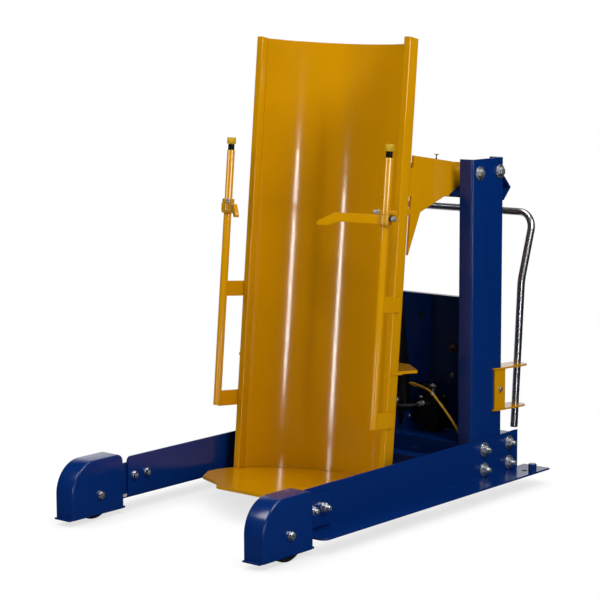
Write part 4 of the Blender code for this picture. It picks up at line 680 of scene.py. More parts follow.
def make_wheel_covers():
    inner, outer, wall = 0.3656, 0.4465, 0.005
    rear, low, top, corner = COVER_REAR, COVER_LOW, COVER_TOP, COVER_CORNER
    slot_z, beyond, lip = 0.1685, 0.05, 0.0058
    width = outer - inner
    for name, side in SIDES:
        middle = side * (inner + outer) / 2.0
        outline = cover_outline(0.0, low) + arc((rear - corner, top - corner), corner, pi / 2, 0.0, 8)
        outline += [(rear, low)]
        hollow = cover_outline(wall, low - beyond)
        hollow += [(rear - corner, top - wall), (rear - wall, top - corner), (rear - wall, slot_z),
                   (rear + beyond, slot_z), (rear + beyond, low - beyond)]
        shape = carved(outline, width, middle, hollow, width - 2.0 * wall, lip)
        cover = settle("cover_" + name, shape, "blue_paint", "frame", MACHINE)
        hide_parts("wheel_cover_" + name)
        lips = bmesh.new()
        half = width / 2.0 - 0.006
        for y0, y1 in ((COVER_FRONT - 0.0115, COVER_FRONT + 0.004), (rear - 0.004, rear + 0.0115)):
            block(lips, (middle - half, y0, low), (middle + half, y1, low + lip), 0.0008)
        settle("cover_lips_" + name, lips, "blue_paint", "frame", MACHINE)
        bolt = bmesh.new()
        place = facing(side * outer, *AXLE, side)
        washer(bolt, place, 0.0145, 0.0002, 0.0022)
        hex_block(bolt, place, 0.0238, 0.0022, 0.0106)
        hex_block(bolt, facing(side * inner, *AXLE, -side), 0.0242, 0.0002, 0.0086)
        rod = [(0.0, -0.001), (0.0079, -0.001), (0.0079, width), (0.0, width)]
        lathe(bolt, rod, 24, facing(side * inner, *AXLE, side))
        axle = settle("axle_bolt_" + name, bolt, "zinc", "frame")
        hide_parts("front_axle_" + name)


def make_wheel(name, node, body, radius, width, bore, place):
    """A rubber tyre on a moulded hub with a dished web and a steel sleeve."""
    half = width / 2.0
    inner, shoulder = radius * 0.74, 0.006
    crown = [(inner, -half + 0.001), (radius - shoulder - 0.001, -half)]
    crown += [(radius - shoulder + shoulder * sin(a), -half + shoulder - shoulder * cos(a))
              for a in sweep(pi / 8, pi / 2, 3)]
    crown += [(r, -z) for r, z in crown[::-1]]
    tread = settle(name + "_tyre", turned(crown, 96, None, True), "rubber", body, place)
    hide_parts(node)
    web = half * 0.42
    profile = [(bore + 0.004, half - 0.0004), (0.0195, half - 0.0004), (0.0215, half - 0.002),
               (0.0235, web), (inner - 0.007, web), (inner - 0.003, half - 0.003),
               (inner + 0.0005, half - 0.0012)]
    profile += [(r, -z) for r, z in profile[::-1]]
    settle(name + "_hub", turned(profile, 64, None, True), "tank", body, place)
    ring = [(bore, half), (bore + 0.0042, half), (bore + 0.0042, -half), (bore, -half)]
    settle(name + "_sleeve", turned(ring, 32, None, True), "steel", body, place)


def make_wheels():
    for name, side in SIDES:
        front = spot(side * 0.41515, *AXLE) @ TO_SIDE
        make_wheel("front_" + name, "front_wheel_" + name, f"front_wheel_{name}_body",
                   0.0825, 0.0440, 0.0086, front)
        caster = spot(side * CASTER[0], CASTER[1] + CASTER_TRAIL, CASTER_DROP) @ TO_SIDE
        make_wheel("rear_" + name, "caster_wheel_" + name, f"caster_wheel_{name}_body",
                   0.0635, 0.032, 0.0067, caster)


def make_caster_details():
    """Plate bolts, the race's dust ring, the kingpin and the axle's nuts."""
    plate_low, kingpin_z, fork_x = 0.1632, 0.1400, 0.0232
    for name, side in SIDES:
        x, y = side * CASTER[0], CASTER[1]
        shape = bmesh.new()
        for dx in (-0.038, 0.038):
            for dy in (-0.030, 0.030):
                place = spot(x + dx, y + dy, plate_low) @ TO_FLOOR
                washer(shape, place, 0.0085, 0.0, 0.0016)
                hex_block(shape, place, 0.0130, 0.0016, 0.0075)
        settle("caster_plate_bolts_" + name, shape, "zinc", "frame")
        race = mm((26.5, 150), (29, 150.8), (30.5, 153.5), (30, 157.5), (27, 160.5))
        settle("caster_race_" + name, turned(race, 48, spot(x, y, 0.0), True), "zinc", "frame")
        nuts = bmesh.new()
        for sign in (-1, 1):
            place = facing(x + sign * fork_x, y + CASTER_TRAIL, CASTER_DROP, sign)
            washer(nuts, place, 0.0100, 0.0, 0.0014)
            hex_block(nuts, place, 0.0150, 0.0014, 0.0076)
        lathe(nuts, mm((0, 0), (9.5, 0), (9, 3), (0, 4.2)), 32, spot(x, y, kingpin_z) @ TO_FLOOR)
        settle("caster_axle_nuts_" + name, nuts, "zinc", "caster_" + name)


def make_leg_bolts():
    """Head inside; broad washer, nut and a long stud end outside."""
    for name, side in SIDES:
        shape = bmesh.new()
        for y, inside in ((0.531, 0.3685), (0.682, 0.3682)):
            for z in LEG_BOLT_ZS:
                stud_end(shape, facing(side * LEG_OUTER_X, y, z, side), 0.0239)
                hex_block(shape, facing(side * inside, y, z, -side), BIG_HEX, -0.0002, 0.0107)
        settle("leg_bolts_" + name, shape, "zinc", "frame")
        front = bmesh.new()
        for y in FRONT_BOLT_YS:
            stud_end(front, facing(side * (LEG_OUTER_X + 0.0083), y, FRONT_BOLT_Z, side), 0.0155)
            back = facing(side * LEG_INNER_X, y, FRONT_BOLT_Z, -side)
            washer(front, back, 0.0150, -0.0001, 0.0020)
            dome = mm((14.4, 2), (14.4, 4), (13.6, 6.8), (11.2, 9.2), (7, 10.7), (0, 11.1))
            lathe(front, dome, 32, back)
        settle("front_bolts_" + name, front, "zinc", "frame")


def make_column_bolts():
    """The bearings' bolts through the columns, with a grease nipple and a ring on each bearing."""
    for name, side in SIDES:
        shape = bmesh.new()
        for y in BEARING_BOLT_YS:
            place = facing(side * LEG_INNER_X, y, PIVOT[1], side)
            washer(shape, place, 0.0239, 0.0001, 0.0036)
            hex_block(shape, place, 0.0244, 0.0036, 0.0138)
            inner = facing(side * 0.3549, y, PIVOT[1], -side)
            hex_block(shape, inner, BIG_HEX, 0.0, 0.0139)
            thread(shape, inner, 0.0079, 0.0130, 0.0190)
        settle("bearing_bolts_" + name, shape, "zinc", "frame")
        profile = mm((0, 0), (4.5, 0), (4.5, 4), (2.8, 4.8), (2.6, 8.5), (3.4, 9.5), (2, 11.8), (0, 12.2))
        nipple = turned(profile, 20, spot(side * 0.3420, PIVOT[0], PIVOT[1] + 0.0285))
        settle("bearing_nipple_" + name, nipple, "brass", "frame", None)
        profile = mm((19.4, -4), (26.5, -4), (26.8, -1.2), (25.8, -0.2), (19.8, -0.2))
        ring = turned(profile, 48, facing(side * 0.3330, *PIVOT, -side), True)
        settle("bearing_ring_" + name, ring, "steel", "frame", None)


def make_handle():
    x = LEG_INNER_X - 0.0265
    corners = [Vector((x, 0.762, 0.190)), Vector((x, 0.798, 0.705)), Vector((x, 0.875, 0.938))]
    corners += [Vector((-p.x, p.y, p.z)) for p in corners[::-1]]
    path = [corners[0]]
    for i, radius in enumerate((0.180, 0.062, 0.062, 0.180), 1):
        here = corners[i]
        before, after = ((corners[k] - here).normalized() for k in (i - 1, i + 1))
        half = before.angle(after) / 2.0
        reach = radius * cos(half) / sin(half)
        centre = here + (before + after).normalized() * (radius / sin(half))
        first, last = ((here + way * reach - centre).normalized() for way in (before, after))
        path += [centre + first.slerp(last, k / 16) * radius for k in range(17)]
    path.append(corners[-1])
    shape = bmesh.new()
    along_path(shape, path, TUBE_R, 40)
    handle = settle("handle_tube", shape, "chrome", "frame", MACHINE)
    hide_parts("push_handle")
    plugs = bmesh.new()
    profile = mm((0, -2), (12.8, -2), (13.3, 0), (13.3, 1.6), (12, 3), (0, 3.4))
    for end, inner in ((path[0], path[1]), (path[-1], path[-2])):
        lathe(plugs, profile, 32, pointing(end, end - inner))
    settle("handle_plugs", plugs, "rubber", "frame", MACHINE)


def make_deck():
    """The rear tray: a plate notched round the columns, with folded skirts."""
    wide, narrow = 0.3742, 0.3184
    front, behind, rear = 0.463, 0.656, 0.736
    low, under, wall = 0.0605, 0.1685, 0.006
    fold = under + 0.001
    outline = [(-narrow, front), (narrow, front), (narrow, behind), (wide, behind), (wide, rear),
               (-wide, rear), (-wide, behind), (-narrow, behind)]
    shape = bmesh.new()
    prism(shape, outline, under, DECK_TOP)
    block(shape, (-narrow, front, low), (narrow, front + wall, fold))
    block(shape, (-wide, rear - wall, under - 0.012), (wide, rear, fold))
    for _, side in SIDES:
        ends = sorted((side * (wide - wall), side * wide))
        block(shape, (ends[0], behind, low), (ends[1], rear, fold))
    deck = settle("deck_tray", shape, "blue_paint", "frame", MACHINE)
    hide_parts("rear_deck")


def make_handle_brackets():
    """A plate on each column between two round-ended tabs, which lean square to the tube."""
    front, rear, lean = 0.5855, 0.656, 0.0500
    low, high, wall, inset = 0.2727, 0.4229, 0.006, 0.002
    inner, outer, edge = 0.3748, 0.3805, 0.3832
    handle_x, start, corner = 0.348, 0.6443 - front, 0.012
    edge_y, drop = front + 0.0075, (rear - front) * lean
    tab_in = 2.0 * handle_x - edge
    plate = [(edge_y, low + inset), (rear, low + inset - drop),
             (rear, high - inset - drop), (edge_y, high - inset)]
    for name, side in SIDES:
        shape = bmesh.new()
        prism(shape, plate, *sorted((side * inner, side * outer)), TO_YZ)
        for top, reach in ((high, 0.7765 - front), (low + wall, 0.7675 - front)):
            tab = [(inner, 0.0), (edge, 0.0)] + arc((handle_x, reach), edge - handle_x, 0.0, pi, 16)
            tab += [(tab_in, start + corner), (tab_in + corner, start), (inner, start)]
            place = Matrix.Translation((0.0, front, top)) @ Matrix.Rotation(-lean, 4, "X")
            prism(shape, [(side * u, v) for u, v in tab], -wall, 0.0, place)
        bracket = settle("handle_holder_" + name, shape, "yellow_paint", "frame", MACHINE)
        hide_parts("handle_bracket_" + name)


def make_handle_bracket_details():
    """The bolt through bracket and column, and the two tabs' weld beads."""
    y, z = 0.6225, 0.3463
    for name, side in SIDES:
        shape = bmesh.new()
        hex_block(shape, facing(side * (LEG_INNER_X + 0.006), y, z, side), 0.0150, -0.0002, 0.0085)
        back = facing(side * 0.3682, y, z, -side)
        washer(shape, back, 0.0109, 0.0002, 0.0036)
        hex_block(shape, back, 0.0188, 0.0036, 0.0166)
        thread(shape, back, STUD_R, 0.0160, 0.0289)
        settle("bracket_bolt_" + name, shape, "zinc", "frame")
        x = side * (LEG_OUTER_X + 0.0004)
        for label, bead_z in (("low", 0.2796), ("high", 0.4158)):
            path = [MACHINE @ Vector((x, 0.596, bead_z)), MACHINE @ Vector((x, 0.652, bead_z - 0.0030))]
            weld(f"bracket_weld_{label}_{name}", path, "frame", 0.0016)


def make_panel_details():
    """The bulkhead fitting, a screw and a blind rubber grommet in the panel's hole."""
    face = 0.6275
    place = spot(0.185, face, 0.469) @ TO_FRONT
    shape = bmesh.new()
    hex_block(shape, place, 0.0250, 0.0010, 0.0145)
    lathe(shape, mm((0, 14), (8.8, 14), (8.8, 18), (7.8, 18.6), (8.8, 19.2), (8.8, 26.8), (7.6, 28.2),
                    (5.2, 28.2), (4.8, 20), (0, 20)), 32, place)
    settle("panel_fitting", shape, "brass", "frame", None)
    size = 0.0088
    profile = [(1.0, 0.0), (1.0, 0.3), (0.86, 0.72), (0.5, 0.98), (0.42, 0.60), (0.0, 0.60)]
    profile = [(u * size, v * size) for u, v in profile]
    screw = turned(profile, 24, spot(0.177, face, 0.372) @ TO_FRONT)
    settle("panel_screw", screw, "zinc", "frame")
    profile = mm((0, -4), (5, -4), (8.6, -3), (9.4, -1.2), (6.8, 0), (6.8, 3), (9.4, 4.2), (8.6, 6),
                 (5, 7), (0, 5))
    grommet = turned(profile, 32, spot(0.04, face + 0.003, 0.575) @ TO_FRONT)
    settle("panel_grommet", grommet, "rubber", "frame")


def make_stop_details():
    """Rubber bumpers with a waist, and the nuts behind the bar that holds them."""
    waist, bar = 0.0165, 0.0506
    for name, side in SIDES:
        x = side * 0.085
        low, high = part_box("stop_bumper_" + name)
        z = (low.z + high.z) / 2.0
        depth = high.y - low.y
        shape = bmesh.new()
        profile = [(0.0, 0.0), (0.0176, 0.0), (0.0180, 0.0014), (waist, depth * 0.4), (waist, depth * 0.6),
                   (0.0176, depth - 0.0022), (0.0165, depth - 0.0005), (0.0060, depth),
                   (0.0050, depth - 0.0030), (0.0, depth - 0.0030)]
        lathe(shape, profile, 40, Matrix.Translation((x, high.y, z)) @ TO_FRONT)
        bumper = settle("bumper_" + name, shape, "rubber", "frame")
        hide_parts("stop_bumper_" + name)
        nut = bmesh.new()
        back = Matrix.Translation((x, high.y + bar, z)) @ TO_REAR
        washer(nut, back, 0.0105, 0.0002, 0.0018)
        hex_block(nut, back, 0.0165, 0.0018, 0.0085)
        thread(nut, back, 0.0050, 0.0080, 0.0130, 0.0015)
        settle("bumper_nut_" + name, nut, "zinc", "frame")


# Carriage pieces

def make_chute():
    """The rolled sheet, with the slight unevenness of rolling and one seam across it."""
    seat = RAIL_REAR + GAP + CHUTE_SET
    start = atan2(seat, sqrt(CHUTE_R ** 2 - seat ** 2))
    columns, rows = 120, 75
    shape = bmesh.new()
    grid = {}
    for layer, radius in (("out", CHUTE_R), ("in", CHUTE_R - CHUTE_WALL)):
        for j in range(rows + 1):
            height = GAP + (SHEET_TOP - GAP) * j / rows
            for i in range(columns + 1):
                angle = start + (pi - 2.0 * start) * i / columns
                edge = min(1.0, 6.0 * i / columns, 6.0 * (columns - i) / columns)
                wave = 0.00022 * sin(height * 7.3 + angle * 1.7) + 0.00016 * sin(angle * 9.0 + height * 2.1)
                wave -= 0.00035 * max(0.0, 1.0 - abs(height - SHEET_SEAM_Z) / 0.022)
                r = radius + (wave - 0.0004) * edge
                grid[layer, i, j] = shape.verts.new((r * cos(angle), r * sin(angle) - CHUTE_SET, height))

    def quad(*corners):
        shape.faces.new([grid[corner] for corner in corners])

    for j in range(rows):
        for i in range(columns):
            for layer in ("out", "in"):
                quad((layer, i, j), (layer, i + 1, j), (layer, i + 1, j + 1), (layer, i, j + 1))
    for j in range(rows):
        for i in (0, columns):
            quad(("out", i, j), ("out", i, j + 1), ("in", i, j + 1), ("in", i, j))
    for i in range(columns):
        for j in (0, rows):
            quad(("out", i, j), ("out", i + 1, j), ("in", i + 1, j), ("in", i, j))
    chute = settle("chute_skin", shape, "yellow_paint", "carriage", CARRIAGE)
    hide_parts("chute_sheet")


def make_rails():
    """Tubes down both edges of the sheet, with a broad round at the rear and a sloping top end."""
    inner, outer, front, rear, corner, broad = 0.302, RAIL_OUTER_X, 0.027, 0.086, 0.0035, 0.0215
    slope, ear_low, ear_high = 0.110, 0.3925, 0.4015
    for name, side in SIDES:
        outline = arc((outer - broad, rear - broad), broad, 0.0, pi / 2, 12)
        outline += arc((inner + corner, front + corner), corner, pi, 1.5 * pi, 5)
        outline += arc((outer - corner, front + corner), corner, 1.5 * pi, 2.0 * pi, 5)
        shape = bmesh.new()
        prism(shape, [(side * x, y) for x, y in outline], GAP, CHUTE_TOP - GAP, None, 0.0006)
        for vert in shape.verts:
            if vert.co.z > CHUTE_TOP / 2.0:
                vert.co.z -= (vert.co.y - front) * slope
        rail = settle("rail_" + name, shape, "yellow_paint", "carriage", CARRIAGE)
        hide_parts("edge_tube_" + name)
        ear = bmesh.new()
        ends = sorted((side * outer, side * (outer + 0.0034)))
        block(ear, (ends[0], front + 0.002, ear_low), (ends[1], rear + 0.004, ear_high), 0.0006)
        settle("rib_ear_" + name, ear, "yellow_paint", "carriage", CARRIAGE)


def make_carriage_welds():
    inner = CHUTE_R - 0.034
    seat_y = sqrt(CHUTE_R ** 2 - inner ** 2) - CHUTE_SET + 0.001
    for name, side in SIDES:
        for label, low, high in (("high", 0.977, 1.070), ("low", 0.917, 0.938)):
            path = [on_carriage(side * (inner - 0.0010), seat_y, z) for z in (low, high)]
            weld(f"arm_weld_{label}_{name}", path, "carriage")
        for label, ends in zip(("low", "high"), POST_TABS):
            path = [on_carriage(side * (RAIL_OUTER_X + 0.0008), 0.0525, z) for z in ends]
            weld(f"post_weld_{label}_{name}", path, "carriage", 0.0022)
    rib_r, rib_z = CHUTE_R + 0.001, 0.3918
    path = [on_carriage(rib_r * cos(a), rib_r * sin(a) - CHUTE_SET, rib_z)
            for a in sweep(radians(16), radians(164), 24)]
    weld("rib_weld", path, "carriage", 0.0022)


def make_posts():
    """Each clamp post is a plain tube with two tabs, a dark thread and a fluted cap."""
    tab_x, tab_rear, flute_count = RAIL_OUTER_X + 0.0033, 0.052, 12
    for name, side in SIDES:
        place = CARRIAGE @ Matrix.Translation((side * POST_X, POST_Y, 0.0))
        shape = bmesh.new()
        lathe(shape, [(0.0, 0.222), (0.0125, 0.222), (TUBE_R, 0.2228), (TUBE_R, 1.0972), (0.0128, 1.098),
                      (0.0, 1.098)], 40, place)
        for low, high in POST_TABS:
            ends = sorted((side * tab_x - 0.003, side * tab_x + 0.003))
            tab = bmesh.new()
            block(tab, (ends[0], POST_Y, low), (ends[1], tab_rear, high), 0.0006)
            add_to(shape, tab, CARRIAGE)
        post = settle("post_tube_" + name, shape, "yellow_paint", "carriage")
        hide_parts("clamp_post_" + name)
        screw = bmesh.new()
        thread(screw, place, TUBE_R - 0.0022, 1.0960, 1.1180, 0.0018, 40)
        settle("post_thread_" + name, screw, "bare_thread", "carriage", None)
        cap = bmesh.new()
        flutes = []
        for angle in around(96):
            radius = 0.0151 + 0.0003 * max(-0.6, cos(angle * flute_count))
            flutes.append((radius * cos(angle), radius * sin(angle)))
        prism(cap, flutes, 1.1183, 1.1410, place, 0.0014)
        piece = settle("post_cap_cover_" + name, cap, "cap_plastic", "carriage", None,
                       radians(60))
        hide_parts("post_cap_" + name)


def outward(place, turn, reach, height):
    """A frame beside a post, at a reach from its axis, whose Z points away from the post."""
    return place @ Matrix.Rotation(turn, 4, "Z") @ Matrix.Translation((reach, 0.0, height)) @ TO_SIDE


def make_collar(name, side, place, top, split, flange, bottom):
    """The locking collar: two flanges on a neck, hexagonal ears and a set bolt."""
    bore, flange_r, neck_r = TUBE_R + 0.0009, 0.0207, 0.0172
    bolt_z = top - 0.0067
    # The right collar's bolt points at the load, the left one's at the front.
    bolt_turn = pi if side > 0 else radians(-50)
    shape = bmesh.new()
    profile = [(bore, top), (0.0195, top), (flange_r, top - 0.0012), (flange_r, split), (neck_r, split),
               (neck_r, flange), (flange_r, flange), (flange_r, bottom + 0.0010), (0.0197, bottom),
               (bore, bottom)]
    lathe(shape, profile, 48, place, True)
    for turn, depth in ((bolt_turn, 0.0045), (bolt_turn + pi, 0.0240 if side > 0 else 0.0060)):
        prism(shape, hexagon(0.0140), 0.0, depth, outward(place, turn, 0.0195, bolt_z), 0.0006)
    collar = settle("collar_" + name, shape, "yellow_paint", "clamp_slide_" + name)
    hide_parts("clamp_collar_" + name)
    bolt = bmesh.new()
    boss = outward(place, bolt_turn, 0.0235, bolt_z)
    hex_block(bolt, boss, 0.0155, 0.0, 0.0070)
    thread(bolt, boss, 0.0055, 0.0060, 0.0110, 0.0012)
    hex_block(bolt, boss, 0.0145, 0.0100, 0.0225)
    settle("set_bolt_" + name, bolt, "zinc", "clamp_slide_" + name)


def make_clamp_arm(name, side, place, high, low):
    """The bent bar on its sleeve, with the bolt and nut that lock it."""
    arm = bmesh.new()
    inner, outer, edge = 0.0179, 0.0227, 0.0010
    sleeve = [(inner, high), (outer - edge, high), (outer, high - edge), (outer, low + edge),
              (outer - edge, low), (inner, low)]
    lathe(arm, sleeve, 48, place, True)
    drop = mm((21.2, 0), (157, 0), (162.5, -0.6), (166.5, -2.6), (212, -27.8), (218, -31.6),
              (220.2, -35.6), (219.4, -41.2), (217, -43.2), (184.6, -43.8), (183.2, -43), (154.5, -31.2),
              (150, -29.8))
    outline = [(reach, high + z) for reach, z in drop] + [(0.1460, low), (0.0212, low)]
    bar = bmesh.new()
    prism(bar, outline, -0.0062, 0.0062)
    swing = Matrix.Rotation(atan2(-0.124, -side * 0.149), 4, "Z")
    add_to(arm, bar, place @ swing @ TO_FRONT)
    piece = settle("clamp_bar_" + name, arm, "yellow_paint", "clamp_swing_" + name)
    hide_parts("clamp_arm_" + name)
    lock = bmesh.new()
    boss = outward(place, radians(-8) if side > 0 else radians(100), 0.0220, (high + low) / 2.0 + 0.004)
    thread(lock, boss, 0.0058, 0.0, 0.0090, 0.0012)
    hex_block(lock, boss, 0.0150, 0.0075, 0.0215)
    settle("arm_bolt_" + name, lock, "zinc", "clamp_swing_" + name)
    nut = bmesh.new()
    hex_block(nut, boss, 0.0165, 0.0004, 0.0066)
    settle("arm_nut_" + name, nut, "bare_thread", "clamp_swing_" + name, None)


def make_clamps():
    """On each post a collar, the left one a little higher, and the arm that swings on its neck."""
    play = 0.0006
    for name, side in SIDES:
        raised = 0.0 if side > 0 else 0.0030
        top, split, flange, bottom = (z + raised for z in (0.9290, 0.9156, 0.8846, 0.8800))
        place = CARRIAGE @ Matrix.Translation((side * POST_X, POST_Y, 0.0))
        make_collar(name, side, place, top, split, flange, bottom)
        make_clamp_arm(name, side, place, split - play, flange + play)


def make_wing_screw():
    """A small black T-handle screw on the near arm's top edge."""
    x, y = 0.286, 0.267
    front, rear = (0.136, 1.112), (0.3505, 1.102)
    foot = front[1] + (y - front[0]) / (rear[0] - front[0]) * (rear[1] - front[1])
    shape = bmesh.new()
    place = CARRIAGE @ Matrix.Translation((x, y, foot))
    lathe(shape, mm((0, 0.3), (3.4, 0.3), (3.4, 2.8), (1.9, 3.4), (1.8, 11.8), (3.2, 13.6), (3.2, 16),
                    (0, 16.8)), 24, place)
    handle = mm((1, 14.2), (4, 15.2), (7.5, 16), (9.4, 16.3))
    for sign in (-1, 1):
        path = [place @ Vector((sign * u, 0.0, v)) for u, v in handle]
        along_path(shape, path, (0.0022, 0.0019, 0.0015, 0.0008), 12, 0.5)
    piece = settle("wing_handle", shape, "black_enamel", "carriage")
    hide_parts("wing_screw")


# Hydraulics

def make_barrel():
    """The cylinder's barrel with eye, neck and port, its fitting, wiper and weld."""
    barrel = bmesh.new()
    lathe(barrel, mm((0, 31), (27, 31), (29, 33), (30, 36), (30, 519), (32.2, 519.6), (33, 521), (33, 564),
                     (32.2, 565.5), (25, 566), (24, 564), (19, 564), (16.7, 565.5), (16.7, 49), (0, 49)),
          56, CYLINDER)
    eye = mm((10.2, -13), (19.8, -13), (21, -11.8), (21, 11.8), (19.8, 13), (10.2, 13))
    lathe(barrel, eye, 48, CYLINDER @ TO_SIDE, True)
    neck = mm((-15.6, 4), (15.6, 4), (17, 34), (-17, 34))
    prism(barrel, neck, -0.011, 0.011, CYLINDER @ TO_YZ, 0.0008)
    port = CYLINDER @ Matrix.Translation((0.0, 0.0, PORT_UP)) @ TO_FRONT
    lathe(barrel, mm((0, 26), (12.5, 26), (12.5, 34.5), (11.2, 36), (0, 36)), 32, port)
    piece = settle("barrel_tube", barrel, "black_enamel", "barrel")
    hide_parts("cylinder_barrel")
    fitting = bmesh.new()
    hex_block(fitting, port, 0.0180, 0.0358, 0.0415)
    lathe(fitting, mm((0, 41), (7.2, 41), (7.2, 46), (0, 46)), 24, port)
    settle("barrel_fitting", fitting, "zinc", "barrel")
    wiper = mm((16.4, 565), (21.5, 565), (20.8, 567.2), (17.2, 569), (16.3, 568.4))
    settle("barrel_wiper", turned(wiper, 40, CYLINDER, True), "rubber", "barrel", None)
    seam_r, seam_z = 0.0205, 0.0330
    seam = [CYLINDER @ Vector((seam_r * cos(a), seam_r * sin(a), seam_z)) for a in sweep(0.0, 2.0 * pi, 40)]
    weld("barrel_weld", seam, "barrel", 0.0022, "black_enamel")


def make_rod_and_pin():
    """The piston rod with its eye, and the base pin with head and cotter."""
    rod = bmesh.new()
    rod_low = 0.055 - CYLINDER_LENGTH
    shank = [(0.0, rod_low), (0.0160, rod_low)]
    shank += mm((16, -31), (15.2, -30), (12.5, -30), (12.5, -13), (0, -13))
    lathe(rod, shank, 48, ROD)
    eye = mm((10.2, -13), (20, -13), (21, -12), (21, 12), (20, 13), (10.2, 13))
    lathe(rod, eye, 48, ROD @ TO_SIDE, True)
    piece = settle("rod_bar", rod, "chrome", "rod")
    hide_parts("cylinder_rod")
    pin = bmesh.new()
    place = spot(0.0, *PIN)
    lathe(pin, mm((0, -31.2), (8.5, -31.2), (9.5, -30.2), (9.5, 25.3), (13.2, 25.3), (14, 26.1), (14, 30.5),
                  (13, 31.5), (0, 31.5)), 40, place @ TO_LEFT)
    cotter = [place @ TO_SIDE @ Vector((0.0, y, 0.0285)) for y in (-0.0105, 0.0, 0.0115)]
    along_path(pin, cotter, 0.0016, 12)
    piece = settle("pin_bar", pin, "zinc", "frame")
    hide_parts("cylinder_pin")


def make_tank_details():
    """Ribbed filler cap, two hold-down straps and the drain plug."""
    low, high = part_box("hydraulic_tank")
    shape = bmesh.new()
    place = Matrix.Translation((low.x + 0.030, high.y - 0.030, high.z))
    lathe(shape, mm((0, 0), (20, 0), (20.5, 2), (18, 4), (18, 12), (16, 15), (0, 16)), 40, place)
    for a in around(16):
        rib = [place @ Vector((0.0182 * cos(a), 0.0182 * sin(a), z)) for z in (0.0045, 0.0118)]
        along_path(shape, rib, 0.0010, 6)
    settle("tank_filler", shape, "tank", "frame")
    strap = bmesh.new()
    over = 0.0012
    for x in (low.x + 0.045, high.x - 0.045):
        block(strap, (x - 0.012, low.y - over, low.z + 0.001),
              (x + 0.012, high.y + over, high.z + over), 0.0006)
    settle("tank_straps", strap, "black_enamel", "frame", None)
    plug = bmesh.new()
    here = Matrix.Translation((low.x + 0.095, low.y, low.z + 0.025)) @ TO_FRONT
    washer(plug, here, 0.0115, 0.0, 0.0016)
    hex_block(plug, here, 0.0170, 0.0016, 0.0085)
    settle("tank_drain", plug, "zinc", "frame", None)


def make_motor():
    """The motor with cooling fins and fan cover, and its terminal box with lid and screws."""
    low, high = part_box("pump_motor")
    radius, half = 0.056, 0.030
    x, y, base = low.x + radius, (low.y + high.y) / 2.0, low.z
    box_x, middle = x + radius, base + 0.0925
    motor = bmesh.new()
    place = Matrix.Translation((x, y, base))
    lathe(motor, mm((0, 0), (50.4, 0), (50.4, 19), (54.5, 21), (54.5, 128), (55.5, 129), (56, 131),
                    (56, 171), (53, 177), (45.5, 185), (0, 185)), 72, place)
    fin = mm((53.5, -1), (56, -0.7), (56, 0.7), (53.5, 1))
    for angle in around(40):
        if cos(angle) <= 0.78:
            prism(motor, fin, 0.0240, 0.1260, place @ Matrix.Rotation(angle, 4, "Z"))
    block(motor, (box_x - 0.012, y - half, middle - half),
          (box_x + half - 0.006, y + half, middle + half), 0.0022)
    piece = settle("motor_shell", motor, "cast_iron", "frame")
    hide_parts("pump_motor")
    lid = bmesh.new()
    block(lid, (box_x + half - 0.0064, y - half, middle - half),
          (box_x + half, y + half, middle + half), 0.0016)
    settle("terminal_lid", lid, "black_enamel", "frame", None)
    screws = bmesh.new()
    for dy in (-0.024, 0.024):
        for dz in (-0.024, 0.024):
            here = Matrix.Translation((box_x + half - 0.0012, y + dy, middle + dz)) @ TO_SIDE
            lathe(screws, mm((0, 0), (3.6, 0), (3.2, 1), (0, 1.1)), 20, here)
    for angle in (0.8, 2.4, 4.0, 5.5):
        here = place @ Matrix.Translation((0.0470 * cos(angle), 0.0470 * sin(angle), 0.0190))
        hex_block(screws, here, 0.0075, -0.001, 0.0045)
    settle("motor_screws", screws, "zinc", "frame", None)


def make_valve():
    """The valve block on its foot, with coil, plug, screws and the outlet's fitting."""
    x, y, half = VALVE_X, VALVE_REAR - VALVE_DEPTH / 2.0, 0.042
    low = DECK_TOP + VALVE_FOOT
    top, plug_x = low + VALVE_HEIGHT, x - half
    body = bmesh.new()
    # The block's near-black colour keeps it as dark as the shaded rear bay it sits in: painted shade.
    block(body, (x - half, VALVE_FRONT, low), (x + half, VALVE_REAR - 0.002, top), 0.0015)
    block(body, (x - 0.0252, VALVE_REAR - 0.0675, DECK_TOP + GAP),
          (x + 0.0252, VALVE_REAR, low + 0.002), 0.0008)
    piece = settle("valve_body", body, "black_enamel", "frame", MACHINE)
    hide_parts("valve_block")
    coil = bmesh.new()
    place = spot(x, y, top)
    lathe(coil, mm((0, -2), (17, -2), (18, 1), (18, 36), (16.8, 38), (0, 38)), 48, place)
    plug = bmesh.new()
    block(plug, (plug_x, y - 0.011, top + 0.017), (x - 0.0126, y + 0.011, top + 0.043), 0.0020)
    add_to(coil, plug, MACHINE)
    settle("valve_coil", coil, "tank", "frame", None)
    metal = bmesh.new()
    hex_block(metal, place, 0.0190, 0.0378, 0.0445)
    lathe(metal, mm((0, 44), (4.6, 44), (4.6, 47.5), (0, 48)), 24, place)
    socket_head = mm((0, 0), (5, 0), (5, 4.2), (4.6, 4.8), (2.6, 4.8), (2.4, 2), (0, 2))
    for dx in (-0.032, 0.032):
        for dy in (-0.026, 0.026):
            lathe(metal, socket_head, 24, spot(x + dx, y + dy, top))
    outlet = spot(OUTLET_X, VALVE_FRONT, MOUTH.z) @ TO_FRONT
    hex_block(metal, outlet, 0.0185, -0.0006, 0.0072)
    lathe(metal, mm((0, 7), (8.6, 7), (8.6, 15), (0, 15)), 24, outlet)
    settle("valve_metal", metal, "zinc", "frame", None)
    gland = bmesh.new()
    here = spot(plug_x, y, top + 0.030) @ TO_LEFT
    prism(gland, hexagon(0.0130), -0.001, 0.0045, here, 0.0006)
    lathe(gland, mm((0, 4), (6.2, 4), (5.8, 6.6), (4.8, 8), (0, 8)), 24, here)
    settle("plug_gland", gland, "tank", "frame", None)


# Cords

